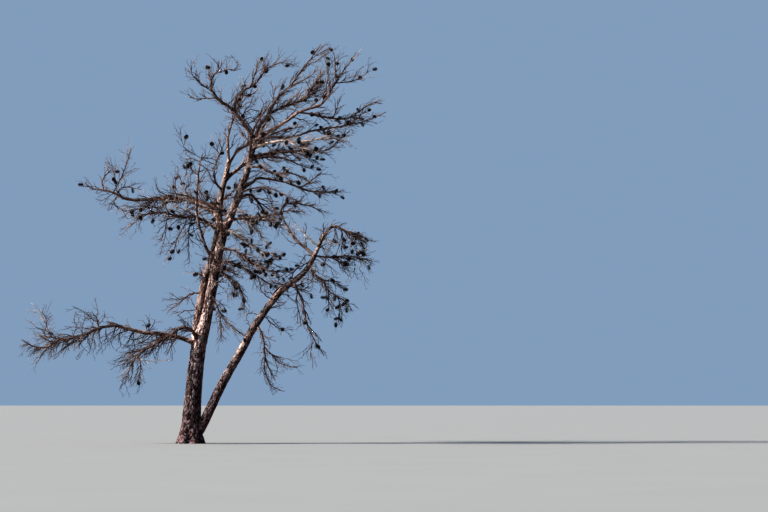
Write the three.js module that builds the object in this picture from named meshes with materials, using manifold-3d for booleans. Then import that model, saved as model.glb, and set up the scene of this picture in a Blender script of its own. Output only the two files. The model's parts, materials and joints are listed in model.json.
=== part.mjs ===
// A dead pine, bare of needles, with its open cones still on the twigs.
// A short trunk forks into two stems that rise side by side, and a third leans out from its foot.
// The boughs sweep to one side, as wind has trained them. Each one ends where its mass of twigs begins.
//
// Millimetres, +Z up, +X to the right and +Y to the back. The origin is on the flat cut under the trunk.

import * as THREE from "three";
import { mergeVertices } from "three/addons/utils/BufferGeometryUtils.js";
import Module from "manifold-3d";

// Driving dimensions
const CROWN = new THREE.Box3(
  new THREE.Vector3(-3400, -2250, 620), // furthest that a twig reaches to the left, the front and down
  new THREE.Vector3(3960, 2350, 8120), // and to the right, the back and up
);
const SOLID_GAP = 0.35; // between neighbouring solids
const TWIG_CLEARANCE = 4; // between a twig and whatever belongs to another mass
const TAPER = 1.25; // above 1, a limb keeps its thickness for longer and narrows towards its tip

const FLARE = 105; // what the root flare adds to the trunk's radius at the ground
const FLARE_HEIGHT = 260; // it dies away by this much height
const FLARE_LOBES = 5;
const FLARE_LOBE_DEPTH = 0.4; // share of the flare by which a root stands out or falls back
const BELOW_CUT = 90; // trunk made below the ground and then cut off flat

const TRUNK_RING_SPACING = 150;
const LIMB_RING_SPACING = 340; // along any other limb
const STEM_RING_SPACING = 290; // along the stem and forks of a mass
const TRUNK_SIDES = 14;
const LEADER_SIDES = 9;
const BOUGH_SIDES = 6;
const STEM_SIDES = 4;
const TWIG_SIDES = 3;
const LEADER_RADIUS = 70; // a limb thicker than this at its foot counts as a leader
const STEM_TIP = 6; // radius where a stem ends, and below it a fork
const FORK_TIP = 4.5;
const FORK_ROOT = 14; // at most
const FORK_ROOT_SHARE = 0.75; // of its stem's radius there

const TWIG_SPACING = 225; // along a stem or fork, between side twigs
const TWIG_SPAN = [0.08, 0.98]; // share of a stem or fork between its first twig and its last
const TWIG_JITTER = [0.2, 0.8]; // share of its own stretch of the stem within which a twig may start
const TWIG_SPREAD = [0.62, 1.15]; // radians between a twig and its stem
const TWIG_LENGTH = [0.75, 1.4]; // of its mass's reach
const TWIG_SHORTENING = 0.55; // of its length, for one at the very tip of the stem
const TWIG_FLATNESS = 0.75; // under 1, the twigs lie more beside the stem than over and under it
const TWIG_ROOT_RADIUS = 5.5; // plus a share of the length
const TWIG_RADIUS_SHARE = 0.009;
const TWIG_ROOT_SHARE = 0.45; // most of the stem's own radius there that a twig may take, to root inside it
const GOLDEN_TURN = 2.39996; // radians from one twig to the next round the stem
const TURN_JITTER = 0.9; // radians more, at most
const UPRIGHT = 0.1; // a heading nearer to straight up than this has no level side of its own

const CONE_LENGTH = [84, 104];
const CONE_WIDTH_SHARE = 0.74; // of its length
const CONE_SINK = 14; // the twig's point ends this deep in the cone
const CONE_DROOP = 0.8; // how strongly it hangs
const CONE_TRIES = 2; // twigs tried for each cone that is asked for
const CONE_KEY = 901; // keeps the draws for cones apart from those for twigs
const CONE_COLUMNS = 4;
const CONE_ROWS = 3;

const TENSION = 0.5; // of the smooth curve through a route
const SAME_POINT = 1e-3; // corners nearer than this become one
const SAME_HEADING = 1e-9; // two lines that are turned less than this count as parallel

const TIP = null; // grows from the end of its parent, instead of from a height

// Limbs, each a tapering solid. foot and tip are radii, and route holds the places after the start.
const LIMBS = [
  { name: "trunk", foot: 176, tip: 150,
    route: [[20, 0, 460], [60, 0, 1060], [120, 0, 1660], [175, 0, 2060]] },
  { name: "left_stem", from: "trunk", height: 1800, foot: 92, tip: 50,
    route: [[100, 60, 2260], [235, 110, 3100], [370, 115, 3620], [490, 110, 4080], [540, 90, 4520],
      [590, 70, 5020], [680, 80, 5380], [730, 90, 5660]] },
  { name: "right_stem", from: "trunk", height: 1750, foot: 116, tip: 52,
    route: [[270, -70, 2260], [440, -110, 3160], [600, -100, 4000], [860, -50, 4740], [1100, 0, 5420],
      [1260, 20, 6080]] },
  { name: "right_arm", from: "trunk", height: 90, foot: 102, tip: 50,
    route: [[245, -40, 370], [640, -130, 1180], [1045, -195, 1880], [1270, -230, 2300],
      [1765, -285, 2970], [2260, -315, 3380], [2480, -320, 3720]] },
  { name: "left_arm", from: "left_stem", height: 4560, foot: 50, tip: 33,
    route: [[315, 130, 4700], [-160, 240, 4910], [-780, 330, 4920], [-1085, 360, 4905]] },
  { name: "left_spire", from: "left_stem", height: 3740, foot: 32, tip: 20,
    route: [[275, -60, 3955], [130, -280, 4540], [130, -290, 5000], [145, -280, 5280]] },
  { name: "low_left_bough", from: "trunk", height: 1960, foot: 46, tip: 36,
    route: [[-10, -60, 2035], [-405, -140, 2150], [-955, -210, 2210], [-1485, -260, 2345]] },
  { name: "top_left_limb", from: "right_stem", height: TIP, foot: 48, tip: 37,
    route: [[1080, -20, 6350], [945, -60, 6520], [850, -90, 6665]] },
  { name: "top_mid_limb", from: "right_stem", height: TIP, foot: 40, tip: 27,
    route: [[1315, 80, 6315], [1415, 140, 6485], [1530, 200, 6635]] },
  { name: "top_right_limb", from: "right_stem", height: TIP, foot: 44, tip: 28,
    route: [[1440, -80, 6185], [1695, -170, 6310], [1980, -260, 6480], [2140, -310, 6595]] },
  { name: "long_right_limb", from: "right_stem", height: 6000, foot: 34, tip: 22,
    route: [[1560, 100, 6155], [1840, 160, 6145], [2100, 210, 6190]] },
  { name: "right_bough", from: "right_stem", height: 5080, foot: 32, tip: 22,
    route: [[1200, 60, 5220], [1360, 130, 5325], [1855, 290, 5265]] },
  { name: "left_leader", from: "left_stem", height: TIP, foot: 32, tip: 20,
    route: [[710, 130, 5895], [705, 170, 6145], [760, 210, 6395]] },
  { name: "cross_limb", from: "left_stem", height: 5300, foot: 42, tip: 26,
    route: [[905, 240, 5520], [1060, 350, 5655], [1290, 520, 5780]] },
  { name: "arm_left_limb", from: "right_arm", height: TIP, foot: 38, tip: 21,
    route: [[2310, -300, 3870], [2070, -280, 4080], [1840, -240, 4460]] },
  { name: "arm_right_limb", from: "right_arm", height: TIP, foot: 40, tip: 24,
    route: [[2570, -340, 3920], [2660, -360, 4120], [2790, -380, 4270], [2920, -400, 4310]] },
];

// Masses of twigs. Each has a stem that carries its limb on, with forks that leave the stem at a share of
// its length. reach is the length of the twigs at the stem's foot, lean bends them, and cones counts what
// hangs on them.
const MASSES = [
  { name: "left_arm_tip", from: "left_arm", height: TIP, foot: 32, reach: 300, lean: [0, 0, 0.35], cones: 2,
    route: [[-1350, 380, 4925], [-1620, 400, 5050], [-1845, 410, 5115], [-2070, 420, 5135],
      [-2235, 430, 5280]],
    forks: [
      [0.47, [[-1480, 380, 5345], [-1395, 350, 5555], [-1275, 320, 5960]]],
      [0.62, [[-1875, 480, 5305], [-1745, 530, 5495], [-1645, 540, 5575], [-1790, 560, 5700]]],
      [0.42, [[-1405, 300, 5160], [-1050, 220, 5105]]],
      [0.38, [[-1610, 330, 4860], [-1500, 290, 4715], [-1295, 260, 4650]]],
    ] },
  { name: "left_under", from: "left_stem", height: 4300, foot: 40, reach: 420,
    lean: [-0.1, 0, -0.25], cones: 4,
    route: [[265, 20, 4445], [65, 0, 4525], [-230, -80, 4520], [-520, -160, 4590], [-815, -220, 4585],
      [-1045, -260, 4460], [-1200, -290, 4300]],
    forks: [
      [0.62, [[-785, -120, 4755], [-1070, -80, 4680], [-1395, -60, 4640]]],
      [0.3, [[-45, -70, 4295], [-55, -80, 3955], [-60, -70, 3635]]],
      [0.36, [[-120, -130, 4375], [-255, -170, 4110], [-510, -200, 3745]]],
      [0.55, [[-465, -280, 4420], [-520, -320, 4175], [-595, -340, 4035]]],
    ] },
  { name: "spire_top", from: "left_spire", height: TIP, foot: 19, reach: 220, lean: [0, 0, 0.2], cones: 1,
    route: [[165, -270, 5485], [220, -260, 5745]],
    forks: [
      [0.85, [[50, -330, 5775], [-125, -380, 5890], [-205, -400, 6210]]],
      [0.7, [[20, -220, 5680], [-85, -200, 5630], [-90, -190, 5350]]],
      [0.9, [[425, -300, 5670], [550, -330, 5595]]],
      [0.1, [[0, -200, 5470], [-85, -190, 5615]]],
    ] },
  { name: "left_back", from: "left_stem", height: 4700, foot: 34, reach: 380,
    lean: [-0.1, 0.1, 0.4], cones: 2,
    route: [[200, 420, 4860], [-100, 700, 5000], [-220, 860, 5140], [-300, 950, 5320], [-380, 1000, 5520]],
    forks: [
      [0.6, [[-380, 640, 5060], [-480, 600, 5260]]],
      [0.75, [[-140, 1100, 5340], [-160, 1240, 5560]]],
    ] },
  { name: "low_left_tip", from: "low_left_bough", height: TIP, foot: 31, reach: 360,
    lean: [-0.2, 0, -0.15], cones: 1,
    route: [[-1780, -280, 2285], [-2070, -310, 2165], [-2325, -330, 2085], [-2580, -350, 2035],
      [-2795, -370, 1915], [-3025, -390, 1905], [-3285, -400, 2025]],
    forks: [
      [0.55, [[-2735, -250, 2100], [-2895, -210, 2160], [-2860, -190, 2370], [-2895, -170, 2570]]],
      [0.17, [[-1835, -330, 2465], [-1930, -350, 2600]]],
    ] },
  { name: "low_left_droop", from: "trunk", height: 2030, foot: 40, reach: 340,
    lean: [-0.2, 0, -0.3], cones: 0,
    route: [[45, -260, 2230], [-160, -380, 2295], [-310, -460, 2170], [-500, -540, 2050],
      [-705, -640, 1920], [-940, -760, 1770], [-1085, -860, 1525], [-1175, -900, 1230]],
    forks: [
      [0.6, [[-830, -560, 1885], [-1090, -520, 1765], [-1290, -500, 1550]]],
      [0.75, [[-890, -860, 1545], [-940, -900, 1230]]],
    ] },
  { name: "left_stem_twigs", from: "left_stem", height: 3000, foot: 15, reach: 240,
    lean: [-0.1, 0, -0.1], cones: 0,
    route: [[5, 120, 2995], [-140, 160, 2905], [-325, 220, 2765], [-495, 280, 2650]],
    forks: [[0.45, [[-275, 100, 2880], [-430, 40, 2890]]]] },
  { name: "top_left_tip", from: "top_left_limb", height: TIP, foot: 35, reach: 240,
    lean: [-0.1, 0, 0.4], cones: 1,
    route: [[705, -110, 6765], [555, -120, 6865], [445, -130, 6985], [380, -130, 7155],
      [420, -120, 7360], [520, -100, 7485], [535, -80, 7675]],
    forks: [
      [0.42, [[225, -200, 7165], [90, -240, 7280], [-10, -260, 7440], [30, -260, 7625]]],
      [0.58, [[335, -60, 7390], [330, -20, 7580]]],
      [0.75, [[665, -180, 7475], [890, -230, 7485], [930, -240, 7655]]],
      [0.33, [[255, -40, 6920], [50, 0, 6915], [-115, 20, 7020]]],
    ] },
  { name: "top_left_spray", from: "top_left_limb", height: TIP, foot: 28, reach: 300,
    lean: [0.25, 0, 0.45], cones: 2,
    route: [[875, 40, 6920], [1025, 140, 7100], [1200, 230, 7235], [1340, 300, 7390], [1415, 350, 7580],
      [1395, 380, 7795]],
    forks: [
      [0.65, [[1545, 260, 7610], [1790, 220, 7685], [2055, 200, 7620]]],
      [0.5, [[1265, 200, 7515], [1285, 180, 7740]]],
      [0.3, [[1155, 60, 7005], [1320, -40, 7090]]],
    ] },
  { name: "high_tip", from: "top_mid_limb", height: TIP, foot: 26, reach: 340,
    lean: [0.45, 0, 0.35], cones: 1,
    route: [[1690, 260, 6955], [1950, 320, 7230], [2190, 380, 7565], [2390, 430, 7840], [2570, 470, 8115]],
    forks: [
      [0.38, [[2175, 260, 7310], [2400, 180, 7430], [2485, 140, 7545]]],
      [0.78, [[2595, 360, 7935], [2760, 300, 8005]]],
      [0.68, [[2510, 500, 7790], [2695, 540, 7945]]],
      [0.15, [[1600, 420, 6995], [1650, 560, 7285]]],
    ] },
  { name: "high_right", from: "top_mid_limb", height: TIP, foot: 24, reach: 300,
    lean: [0.35, 0, 0.45], cones: 2,
    route: [[1820, 60, 6760], [2110, -40, 6845], [2310, -100, 6960], [2435, -140, 7135],
      [2595, -170, 7435]],
    forks: [[0.5, [[2445, 40, 7040], [2585, 120, 7215]]]] },
  { name: "top_right_tip", from: "top_right_limb", height: TIP, foot: 27, reach: 320,
    lean: [0.35, 0, 0.45], cones: 3,
    route: [[2360, -360, 6665], [2585, -410, 6730], [2745, -440, 6910], [2865, -470, 7145],
      [3065, -500, 7420], [3280, -530, 7700]],
    forks: [
      [0.6, [[3180, -420, 7205], [3380, -400, 7275], [3560, -390, 7420]]],
      [0.62, [[2885, -560, 7490], [2865, -600, 7745]]],
      [0.5, [[2760, -380, 7240], [2720, -360, 7465], [2700, -350, 7650]]],
      [0.35, [[2650, -600, 6905], [2770, -760, 7080]]],
    ] },
  { name: "top_right_lower", from: "top_right_limb", height: TIP, foot: 20, reach: 260,
    lean: [0.45, 0, 0.15], cones: 2,
    route: [[2415, -200, 6580], [2675, -120, 6520], [2975, -60, 6500], [3215, -10, 6555],
      [3435, 30, 6725], [3800, 80, 6925]],
    forks: [
      [0.4, [[2895, -160, 6645], [2980, -220, 6900]]],
      [0.62, [[3195, -120, 6410], [3400, -160, 6485]]],
    ] },
  { name: "long_right_tip", from: "long_right_limb", height: TIP, foot: 21, reach: 300,
    lean: [0.45, 0, 0.15], cones: 3,
    route: [[2400, 260, 6300], [2765, 310, 6365], [3130, 350, 6435], [3535, 390, 6540], [3900, 420, 6710]],
    forks: [
      [0.3, [[2680, 420, 6260], [2945, 480, 6205]]],
      [0.55, [[3255, 200, 6495], [3495, 140, 6690]]],
    ] },
  { name: "pale_right", from: "right_stem", height: 5920, foot: 30, reach: 280,
    lean: [0.4, 0, 0.1], cones: 3,
    route: [[1535, -150, 6000], [1860, -290, 6025], [2145, -390, 5990], [2425, -460, 6020],
      [2665, -500, 6075], [2865, -540, 6210]],
    forks: [
      [0.7, [[2885, -480, 6040], [3185, -480, 5960]]],
      [0.45, [[2210, -520, 5855], [2435, -640, 5820]]],
    ] },
  { name: "lower_right", from: "right_stem", height: 5720, foot: 34, reach: 300,
    lean: [0.4, 0, 0], cones: 4,
    route: [[1395, 130, 5795], [1635, 250, 5850], [2110, 430, 5910], [2395, 480, 5920],
      [2700, 520, 5945], [3045, 550, 6255], [3165, 560, 6340]],
    forks: [
      [0.42, [[2235, 340, 5800], [2525, 290, 5670]]],
      [0.35, [[2025, 560, 5990], [2260, 720, 6070]]],
    ] },
  { name: "small_right", from: "right_stem", height: 5540, foot: 22, reach: 260,
    lean: [0.35, 0, -0.1], cones: 3,
    route: [[1420, -240, 5495], [1630, -380, 5370], [1990, -480, 5360], [2255, -540, 5255],
      [2435, -580, 5130]],
    forks: [[0.5, [[1920, -620, 5245], [2085, -740, 5130]]]] },
  { name: "right_bough_tip", from: "right_bough", height: TIP, foot: 21, reach: 300,
    lean: [0.4, 0, 0.1], cones: 1,
    route: [[2115, 360, 5170], [2355, 420, 5095], [2620, 470, 5080], [2945, 520, 5095]],
    forks: [
      [0.3, [[2380, 300, 5285], [2605, 240, 5460]]],
      [0.5, [[2495, 620, 5050], [2670, 820, 5115]]],
    ] },
  { name: "thin_right", from: "right_stem", height: 5020, foot: 16, reach: 220,
    lean: [0.3, 0, -0.2], cones: 2,
    route: [[1220, -220, 5075], [1450, -340, 5085], [1675, -430, 5025], [1895, -500, 4920],
      [2235, -570, 4750]],
    forks: [[0.35, [[1565, -260, 4960], [1640, -220, 4805]]]] },
  { name: "leader_tip", from: "left_leader", height: TIP, foot: 19, reach: 280,
    lean: [0.1, 0.2, 0.4], cones: 1,
    route: [[820, 240, 6580], [895, 270, 6790], [975, 300, 7000], [1010, 340, 7250]],
    forks: [[0.3, [[710, 360, 6700], [640, 460, 6920]]]] },
  { name: "leader_right", from: "left_stem", height: 5560, foot: 26, reach: 320,
    lean: [0.35, 0.1, 0.25], cones: 2,
    route: [[885, 220, 5875], [1045, 270, 5985], [1380, 420, 6135], [1635, 560, 6300], [2215, 820, 6475]],
    forks: [[0.6, [[1745, 760, 6240], [1945, 940, 6245]]]] },
  { name: "cross_tip", from: "cross_limb", height: TIP, foot: 25, reach: 340,
    lean: [0.2, 0.2, 0.2], cones: 2,
    route: [[1525, 740, 5825], [1820, 980, 5815], [2120, 1200, 5715], [2385, 1360, 5650]],
    forks: [[0.4, [[1630, 1060, 5970], [1680, 1300, 6165]]]] },
  { name: "leader_left", from: "left_stem", height: 5060, foot: 22, reach: 200,
    lean: [-0.1, -0.1, 0.3], cones: 1,
    route: [[480, -70, 5225], [450, -130, 5420], [515, -160, 5655], [615, -180, 5875], [675, -190, 6035]],
    forks: [
      [0.75, [[440, -260, 5925], [405, -300, 6000]]],
      [0.85, [[540, -240, 6070]]],
    ] },
  { name: "pale_mid", from: "right_stem", height: 4740, foot: 17, reach: 240,
    lean: [0.2, -0.1, -0.3], cones: 2,
    route: [[1045, -240, 4585], [1195, -350, 4415], [1340, -440, 4225], [1485, -520, 4020],
      [1565, -570, 3880]],
    forks: [] },
  { name: "mid_front", from: "right_stem", height: 4430, foot: 30, reach: 300,
    lean: [0.3, -0.1, -0.1], cones: 4,
    route: [[910, -300, 4450], [1080, -470, 4445], [1375, -690, 4445], [1620, -860, 4370],
      [1845, -980, 4220]],
    forks: [
      [0.45, [[1205, -820, 4370], [1300, -1060, 4290]]],
      [0.6, [[1590, -640, 4505], [1800, -560, 4515]]],
    ] },
  { name: "mid_back", from: "right_stem", height: 4900, foot: 32, reach: 340,
    lean: [0.2, 0.2, -0.1], cones: 2,
    route: [[1140, 240, 5000], [1280, 420, 4900], [1400, 640, 4720], [1560, 900, 4560],
      [1760, 1160, 4460]],
    forks: [
      [0.4, [[1480, 420, 4760], [1700, 440, 4600]]],
      [0.6, [[1360, 1080, 4640], [1300, 1340, 4600]]],
    ] },
  { name: "pale_low", from: "right_stem", height: 4240, foot: 18, reach: 260,
    lean: [0.2, 0, -0.2], cones: 3,
    route: [[835, -340, 4195], [1070, -520, 4040], [1255, -650, 3890], [1500, -790, 3745],
      [1745, -900, 3735]],
    forks: [] },
  { name: "cone_front", from: "right_stem", height: 3880, foot: 30, reach: 300,
    lean: [0.2, 0, -0.15], cones: 5,
    route: [[835, -280, 3840], [1040, -400, 3730], [1245, -500, 3565], [1510, -580, 3430],
      [1770, -640, 3380], [2050, -700, 3395]],
    forks: [
      [0.45, [[1320, -720, 3510], [1490, -920, 3400]]],
      [0.6, [[1625, -520, 3605], [1820, -520, 3725]]],
    ] },
  { name: "cone_back", from: "right_stem", height: 3620, foot: 28, reach: 320,
    lean: [0.1, 0.2, -0.2], cones: 3,
    route: [[780, 160, 3620], [980, 360, 3540], [1220, 540, 3420], [1440, 700, 3260], [1640, 840, 3160]],
    forks: [[0.5, [[1180, 760, 3400], [1240, 1000, 3380]]]] },
  { name: "hanging_cones", from: "right_stem", height: 3460, foot: 17, reach: 200,
    lean: [0, 0, -0.4], cones: 2,
    route: [[755, -260, 3320], [940, -340, 3140], [1065, -390, 2915], [1085, -410, 2640]],
    forks: [[0.4, [[890, -460, 3110], [915, -520, 2930]]]] },
  { name: "low_droop_right", from: "right_stem", height: 3000, foot: 15, reach: 220,
    lean: [0.1, 0, -0.35], cones: 1,
    route: [[565, -340, 2680], [675, -440, 2480], [820, -530, 2335], [1025, -610, 2175],
      [1165, -650, 2095]],
    forks: [[0.35, [[645, -540, 2335], [670, -600, 2000]]]] },
  { name: "back_low", from: "left_stem", height: 3300, foot: 32, reach: 360, lean: [0, 0.2, 0], cones: 1,
    route: [[330, 480, 3380], [380, 880, 3500], [400, 1280, 3600], [340, 1680, 3680], [280, 2080, 3820]],
    forks: [
      [0.5, [[640, 1300, 3520], [840, 1480, 3460]]],
      [0.65, [[100, 1600, 3540], [-140, 1760, 3480]]],
    ] },
  { name: "back_bough", from: "left_stem", height: 4380, foot: 38, reach: 380,
    lean: [0, 0.2, 0.25], cones: 2,
    route: [[430, 520, 4640], [480, 920, 4860], [560, 1320, 5040], [680, 1720, 5200], [800, 2080, 5440]],
    forks: [
      [0.45, [[240, 1240, 5060], [20, 1440, 5120]]],
      [0.6, [[860, 1480, 5080], [1100, 1640, 5160]]],
    ] },
  { name: "front_bough", from: "right_stem", height: 4100, foot: 36, reach: 360,
    lean: [0, -0.2, 0.2], cones: 2,
    route: [[640, -480, 4280], [660, -880, 4440], [640, -1260, 4560], [560, -1620, 4640],
      [460, -1940, 4820]],
    forks: [
      [0.45, [[900, -1160, 4520], [1140, -1300, 4500]]],
      [0.6, [[340, -1420, 4600], [120, -1520, 4660]]],
    ] },
  { name: "front_low", from: "right_stem", height: 3280, foot: 30, reach: 340, lean: [0, -0.2, 0], cones: 1,
    route: [[500, -500, 3380], [620, -860, 3460], [700, -1200, 3500], [780, -1520, 3500],
      [860, -1820, 3540]],
    forks: [
      [0.45, [[800, -1160, 3400], [980, -1300, 3340]]],
      [0.6, [[560, -1400, 3600], [500, -1560, 3720]]],
    ] },
  { name: "top_back", from: "right_stem", height: 5460, foot: 32, reach: 340,
    lean: [0.1, 0.2, 0.35], cones: 1,
    route: [[1100, 400, 5740], [1140, 760, 6000], [1200, 1060, 6240], [1300, 1340, 6440],
      [1420, 1580, 6680]],
    forks: [
      [0.5, [[960, 1140, 6340], [840, 1280, 6540]]],
      [0.4, [[1420, 900, 6180], [1640, 1000, 6300]]],
    ] },
  { name: "top_front", from: "right_stem", height: 5640, foot: 32, reach: 340,
    lean: [0.15, -0.2, 0.35], cones: 2,
    route: [[1200, -380, 5880], [1260, -740, 6100], [1360, -1040, 6280], [1500, -1320, 6420],
      [1660, -1540, 6620]],
    forks: [
      [0.5, [[1120, -1060, 6360], [980, -1220, 6540]]],
      [0.4, [[1560, -840, 6160], [1780, -900, 6260]]],
    ] },
  { name: "arm_left_tip", from: "arm_left_limb", height: TIP, foot: 20, reach: 220,
    lean: [0.2, 0, 0.2], cones: 1,
    route: [[1805, -230, 4625], [1900, -220, 4765], [2120, -200, 4780], [2380, -180, 4730],
      [2620, -170, 4610]],
    forks: [
      [0.15, [[2030, -340, 4615], [2190, -400, 4570]]],
      [0.1, [[1710, -340, 4575], [1655, -420, 4685]]],
    ] },
  { name: "arm_right_tip", from: "arm_right_limb", height: TIP, foot: 23, reach: 300,
    lean: [0.2, 0, -0.3], cones: 4,
    route: [[3105, -420, 4190], [3305, -440, 4085], [3525, -460, 3965]],
    forks: [
      [0.15, [[3045, -340, 4035], [3005, -310, 3840]]],
      [0.5, [[3305, -560, 3920], [3325, -620, 3715]]],
      [0.3, [[3240, -240, 4165], [3440, -120, 4115]]],
    ] },
  { name: "arm_level", from: "right_arm", height: TIP, foot: 18, reach: 240,
    lean: [0.2, 0, -0.25], cones: 3,
    route: [[2685, -200, 3705], [2940, -130, 3710], [3180, -80, 3735], [3620, 0, 3640]],
    forks: [[0.4, [[2955, 60, 3645], [3115, 200, 3570]]]] },
  { name: "arm_low", from: "right_arm", height: 3520, foot: 24, reach: 220, lean: [0.05, 0, -0.4], cones: 4,
    route: [[2470, -420, 3350], [2615, -480, 3230], [2755, -530, 3030], [2915, -580, 2910],
      [3090, -610, 2805], [3230, -640, 2630]],
    forks: [
      [0.5, [[2775, -640, 2785], [2760, -680, 2585]]],
      [0.7, [[2990, -520, 2675], [2950, -490, 2435]]],
      [0.3, [[2850, -400, 3195], [3065, -340, 3060]]],
    ] },
  { name: "arm_hang_outer", from: "right_arm", height: 3200, foot: 22, reach: 260,
    lean: [0.05, 0, -0.45], cones: 1,
    route: [[2135, -420, 3035], [2240, -490, 2855], [2270, -520, 2675], [2320, -550, 2435],
      [2420, -580, 2160], [2680, -630, 1725]],
    forks: [
      [0.75, [[2425, -660, 1840], [2405, -690, 1625]]],
      [0.15, [[2125, -360, 2820], [2185, -330, 2545], [2215, -320, 2325]]],
      [0.6, [[2495, -480, 2180], [2635, -420, 2005]]],
    ] },
  { name: "arm_hang_inner", from: "right_arm", height: 2360, foot: 22, reach: 220,
    lean: [0.1, 0, -0.2], cones: 0,
    route: [[1420, -340, 2205], [1485, -390, 1985], [1505, -410, 1770], [1570, -430, 1530],
      [1710, -450, 1255]],
    forks: [
      [0.42, [[1650, -490, 1745], [1750, -540, 1625], [1910, -580, 1550], [2150, -610, 1490]]],
      [0.55, [[1485, -350, 1475], [1540, -310, 1315], [1640, -290, 1135], [1820, -280, 1040]]],
    ] },
  { name: "arm_back", from: "right_arm", height: 2860, foot: 28, reach: 320, lean: [0.1, 0.2, 0], cones: 1,
    route: [[1660, 60, 2980], [1760, 380, 3120], [1900, 740, 3200], [2080, 1080, 3220],
      [2280, 1380, 3300]],
    forks: [
      [0.5, [[1700, 920, 3260], [1600, 1140, 3340]]],
      [0.6, [[2160, 860, 3100], [2380, 900, 3020]]],
    ] },
];

const wood = (color) => new THREE.MeshStandardMaterial({ color, roughness: 0.9, metalness: 0 });
const BARK = wood(0x4a3328);
const TWIG_BARK = wood(0x57463c);

const wasm = await Module();
wasm.setup();

const UP = new THREE.Vector3(0, 0, 1);
const ACROSS = new THREE.Vector3(1, 0, 0);
const ALONG = new THREE.Vector3(0, 1, 0); // the axis of a plain cone or ball
const vector = (place) => new THREE.Vector3(...place);
const between = ([low, high], share) => low + (high - low) * share;

// A number from 0 to 1 that depends only on the whole numbers given, so that no draw changes another.
function chance(...keys) {
  let h = 0x9e3779b9;
  for (const key of keys) {
    h = Math.imul(h ^ key, 0x85ebca6b);
    h ^= h >>> 13;
    h = Math.imul(h, 0xc2b2ae35);
    h ^= h >>> 16;
  }
  return (h >>> 0) / 2 ** 32;
}

// The centre line of a limb, stem or fork, as straight steps between its rings, and its radius along it.
class Path {
  constructor(places, foot, tip, ringSpacing) {
    this.curve = new THREE.CatmullRomCurve3(places, false, "catmullrom", TENSION);
    this.length = this.curve.getLength();
    this.rings = Math.max(2, Math.round(this.length / ringSpacing));
    this.centres = this.curve.getSpacedPoints(this.rings);
    this.foot = foot;
    this.tip = tip;
  }

  step(share) {
    return Math.min(this.rings - 1, Math.floor(share * this.rings));
  }

  at(share) {
    const i = this.step(share);
    return this.centres[i].clone().lerp(this.centres[i + 1], share * this.rings - i);
  }

  heading(share) {
    const i = this.step(share);
    return this.centres[i + 1].clone().sub(this.centres[i]).normalize();
  }

  radius(share) {
    return this.foot + (this.tip - this.foot) * share ** TAPER;
  }

  // Where the centre line passes a height. It is only asked of limbs that rise all the way.
  atHeight(height) {
    const i = this.centres.findIndex((c, n) => n > 0 && c.z >= height) - 1;
    const [low, high] = [this.centres[i], this.centres[i + 1]];
    return low.clone().lerp(high, (height - low.z) / (high.z - low.z));
  }
}

// Bends a unit cylinder or cone along a path. It has one ring for each ring of the path.
function sweep(path, sides, { swell = 0, radius = (share) => path.radius(share) } = {}) {
  const geometry = new THREE.CylinderGeometry(1, 1, 1, sides, path.rings);
  const { tangents, normals, binormals } = path.curve.computeFrenetFrames(path.rings);
  const position = geometry.getAttribute("position");
  for (let i = 0; i < position.count; i++) {
    const share = position.getY(i) + 0.5;
    const ring = Math.round(share * path.rings);
    const [x, z] = [position.getX(i), position.getZ(i)];
    const out = Math.hypot(x, z) < 0.5 ? 0 : radius(share, Math.atan2(z, x)) + swell;
    const place = path.centres[ring].clone();
    place.addScaledVector(normals[ring], -x * out).addScaledVector(binormals[ring], z * out);
    if (ring === 0) place.addScaledVector(tangents[ring], -swell);
    if (ring === path.rings) place.addScaledVector(tangents[ring], swell);
    position.setXYZ(i, place.x, place.y, place.z);
  }
  return solidOf(geometry);
}

// Turns a shape from +Y to a direction and moves it to a place.
function aimed(geometry, direction, place) {
  geometry.applyQuaternion(new THREE.Quaternion().setFromUnitVectors(ALONG, direction));
  return geometry.translate(place.x, place.y, place.z);
}

// A twig: a straight three-sided spike.
function spike(root, tip, radius) {
  const length = root.distanceTo(tip);
  const geometry = new THREE.ConeGeometry(radius, length, TWIG_SIDES, 1);
  geometry.translate(0, length / 2, 0);
  return solidOf(aimed(geometry, tip.clone().sub(root).normalize(), root));
}

// An open cone as a plain egg, its foot sunk into the twig.
function cone({ foot, direction, length }) {
  const geometry = new THREE.SphereGeometry(0.5, CONE_COLUMNS, CONE_ROWS);
  const width = length * CONE_WIDTH_SHARE;
  geometry.scale(width, length + CONE_SINK, width);
  const middle = foot.clone().addScaledVector(direction, (length - CONE_SINK) / 2);
  return solidOf(aimed(geometry, direction, middle));
}

function solidOf(geometry) {
  const bare = (geometry.index ? geometry.toNonIndexed() : geometry).clone();
  bare.deleteAttribute("normal");
  bare.deleteAttribute("uv");
  const merged = mergeVertices(bare, SAME_POINT);
  return new wasm.Manifold(
    new wasm.Mesh({
      numProp: 3,
      vertProperties: new Float32Array(merged.getAttribute("position").array),
      triVerts: new Uint32Array(merged.index.array),
    }),
  );
}

function geometryOf(solid) {
  const { vertProperties, triVerts } = solid.getMesh();
  const geometry = new THREE.BufferGeometry();
  geometry.setAttribute("position", new THREE.BufferAttribute(new Float32Array(vertProperties), 3));
  geometry.setIndex(new THREE.BufferAttribute(new Uint32Array(triVerts), 1));
  geometry.computeVertexNormals();
  return geometry;
}

// The largest body of a solid. What a cut leaves loose is dropped.
function largest(solid) {
  return solid.decompose().reduce((best, body) => (body.volume() > best.volume() ? body : best));
}

function boxesMeet(a, b) {
  const [p, q] = [a.boundingBox(), b.boundingBox()];
  return [0, 1, 2].every((i) => p.min[i] <= q.max[i] && q.min[i] <= p.max[i]);
}

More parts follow.
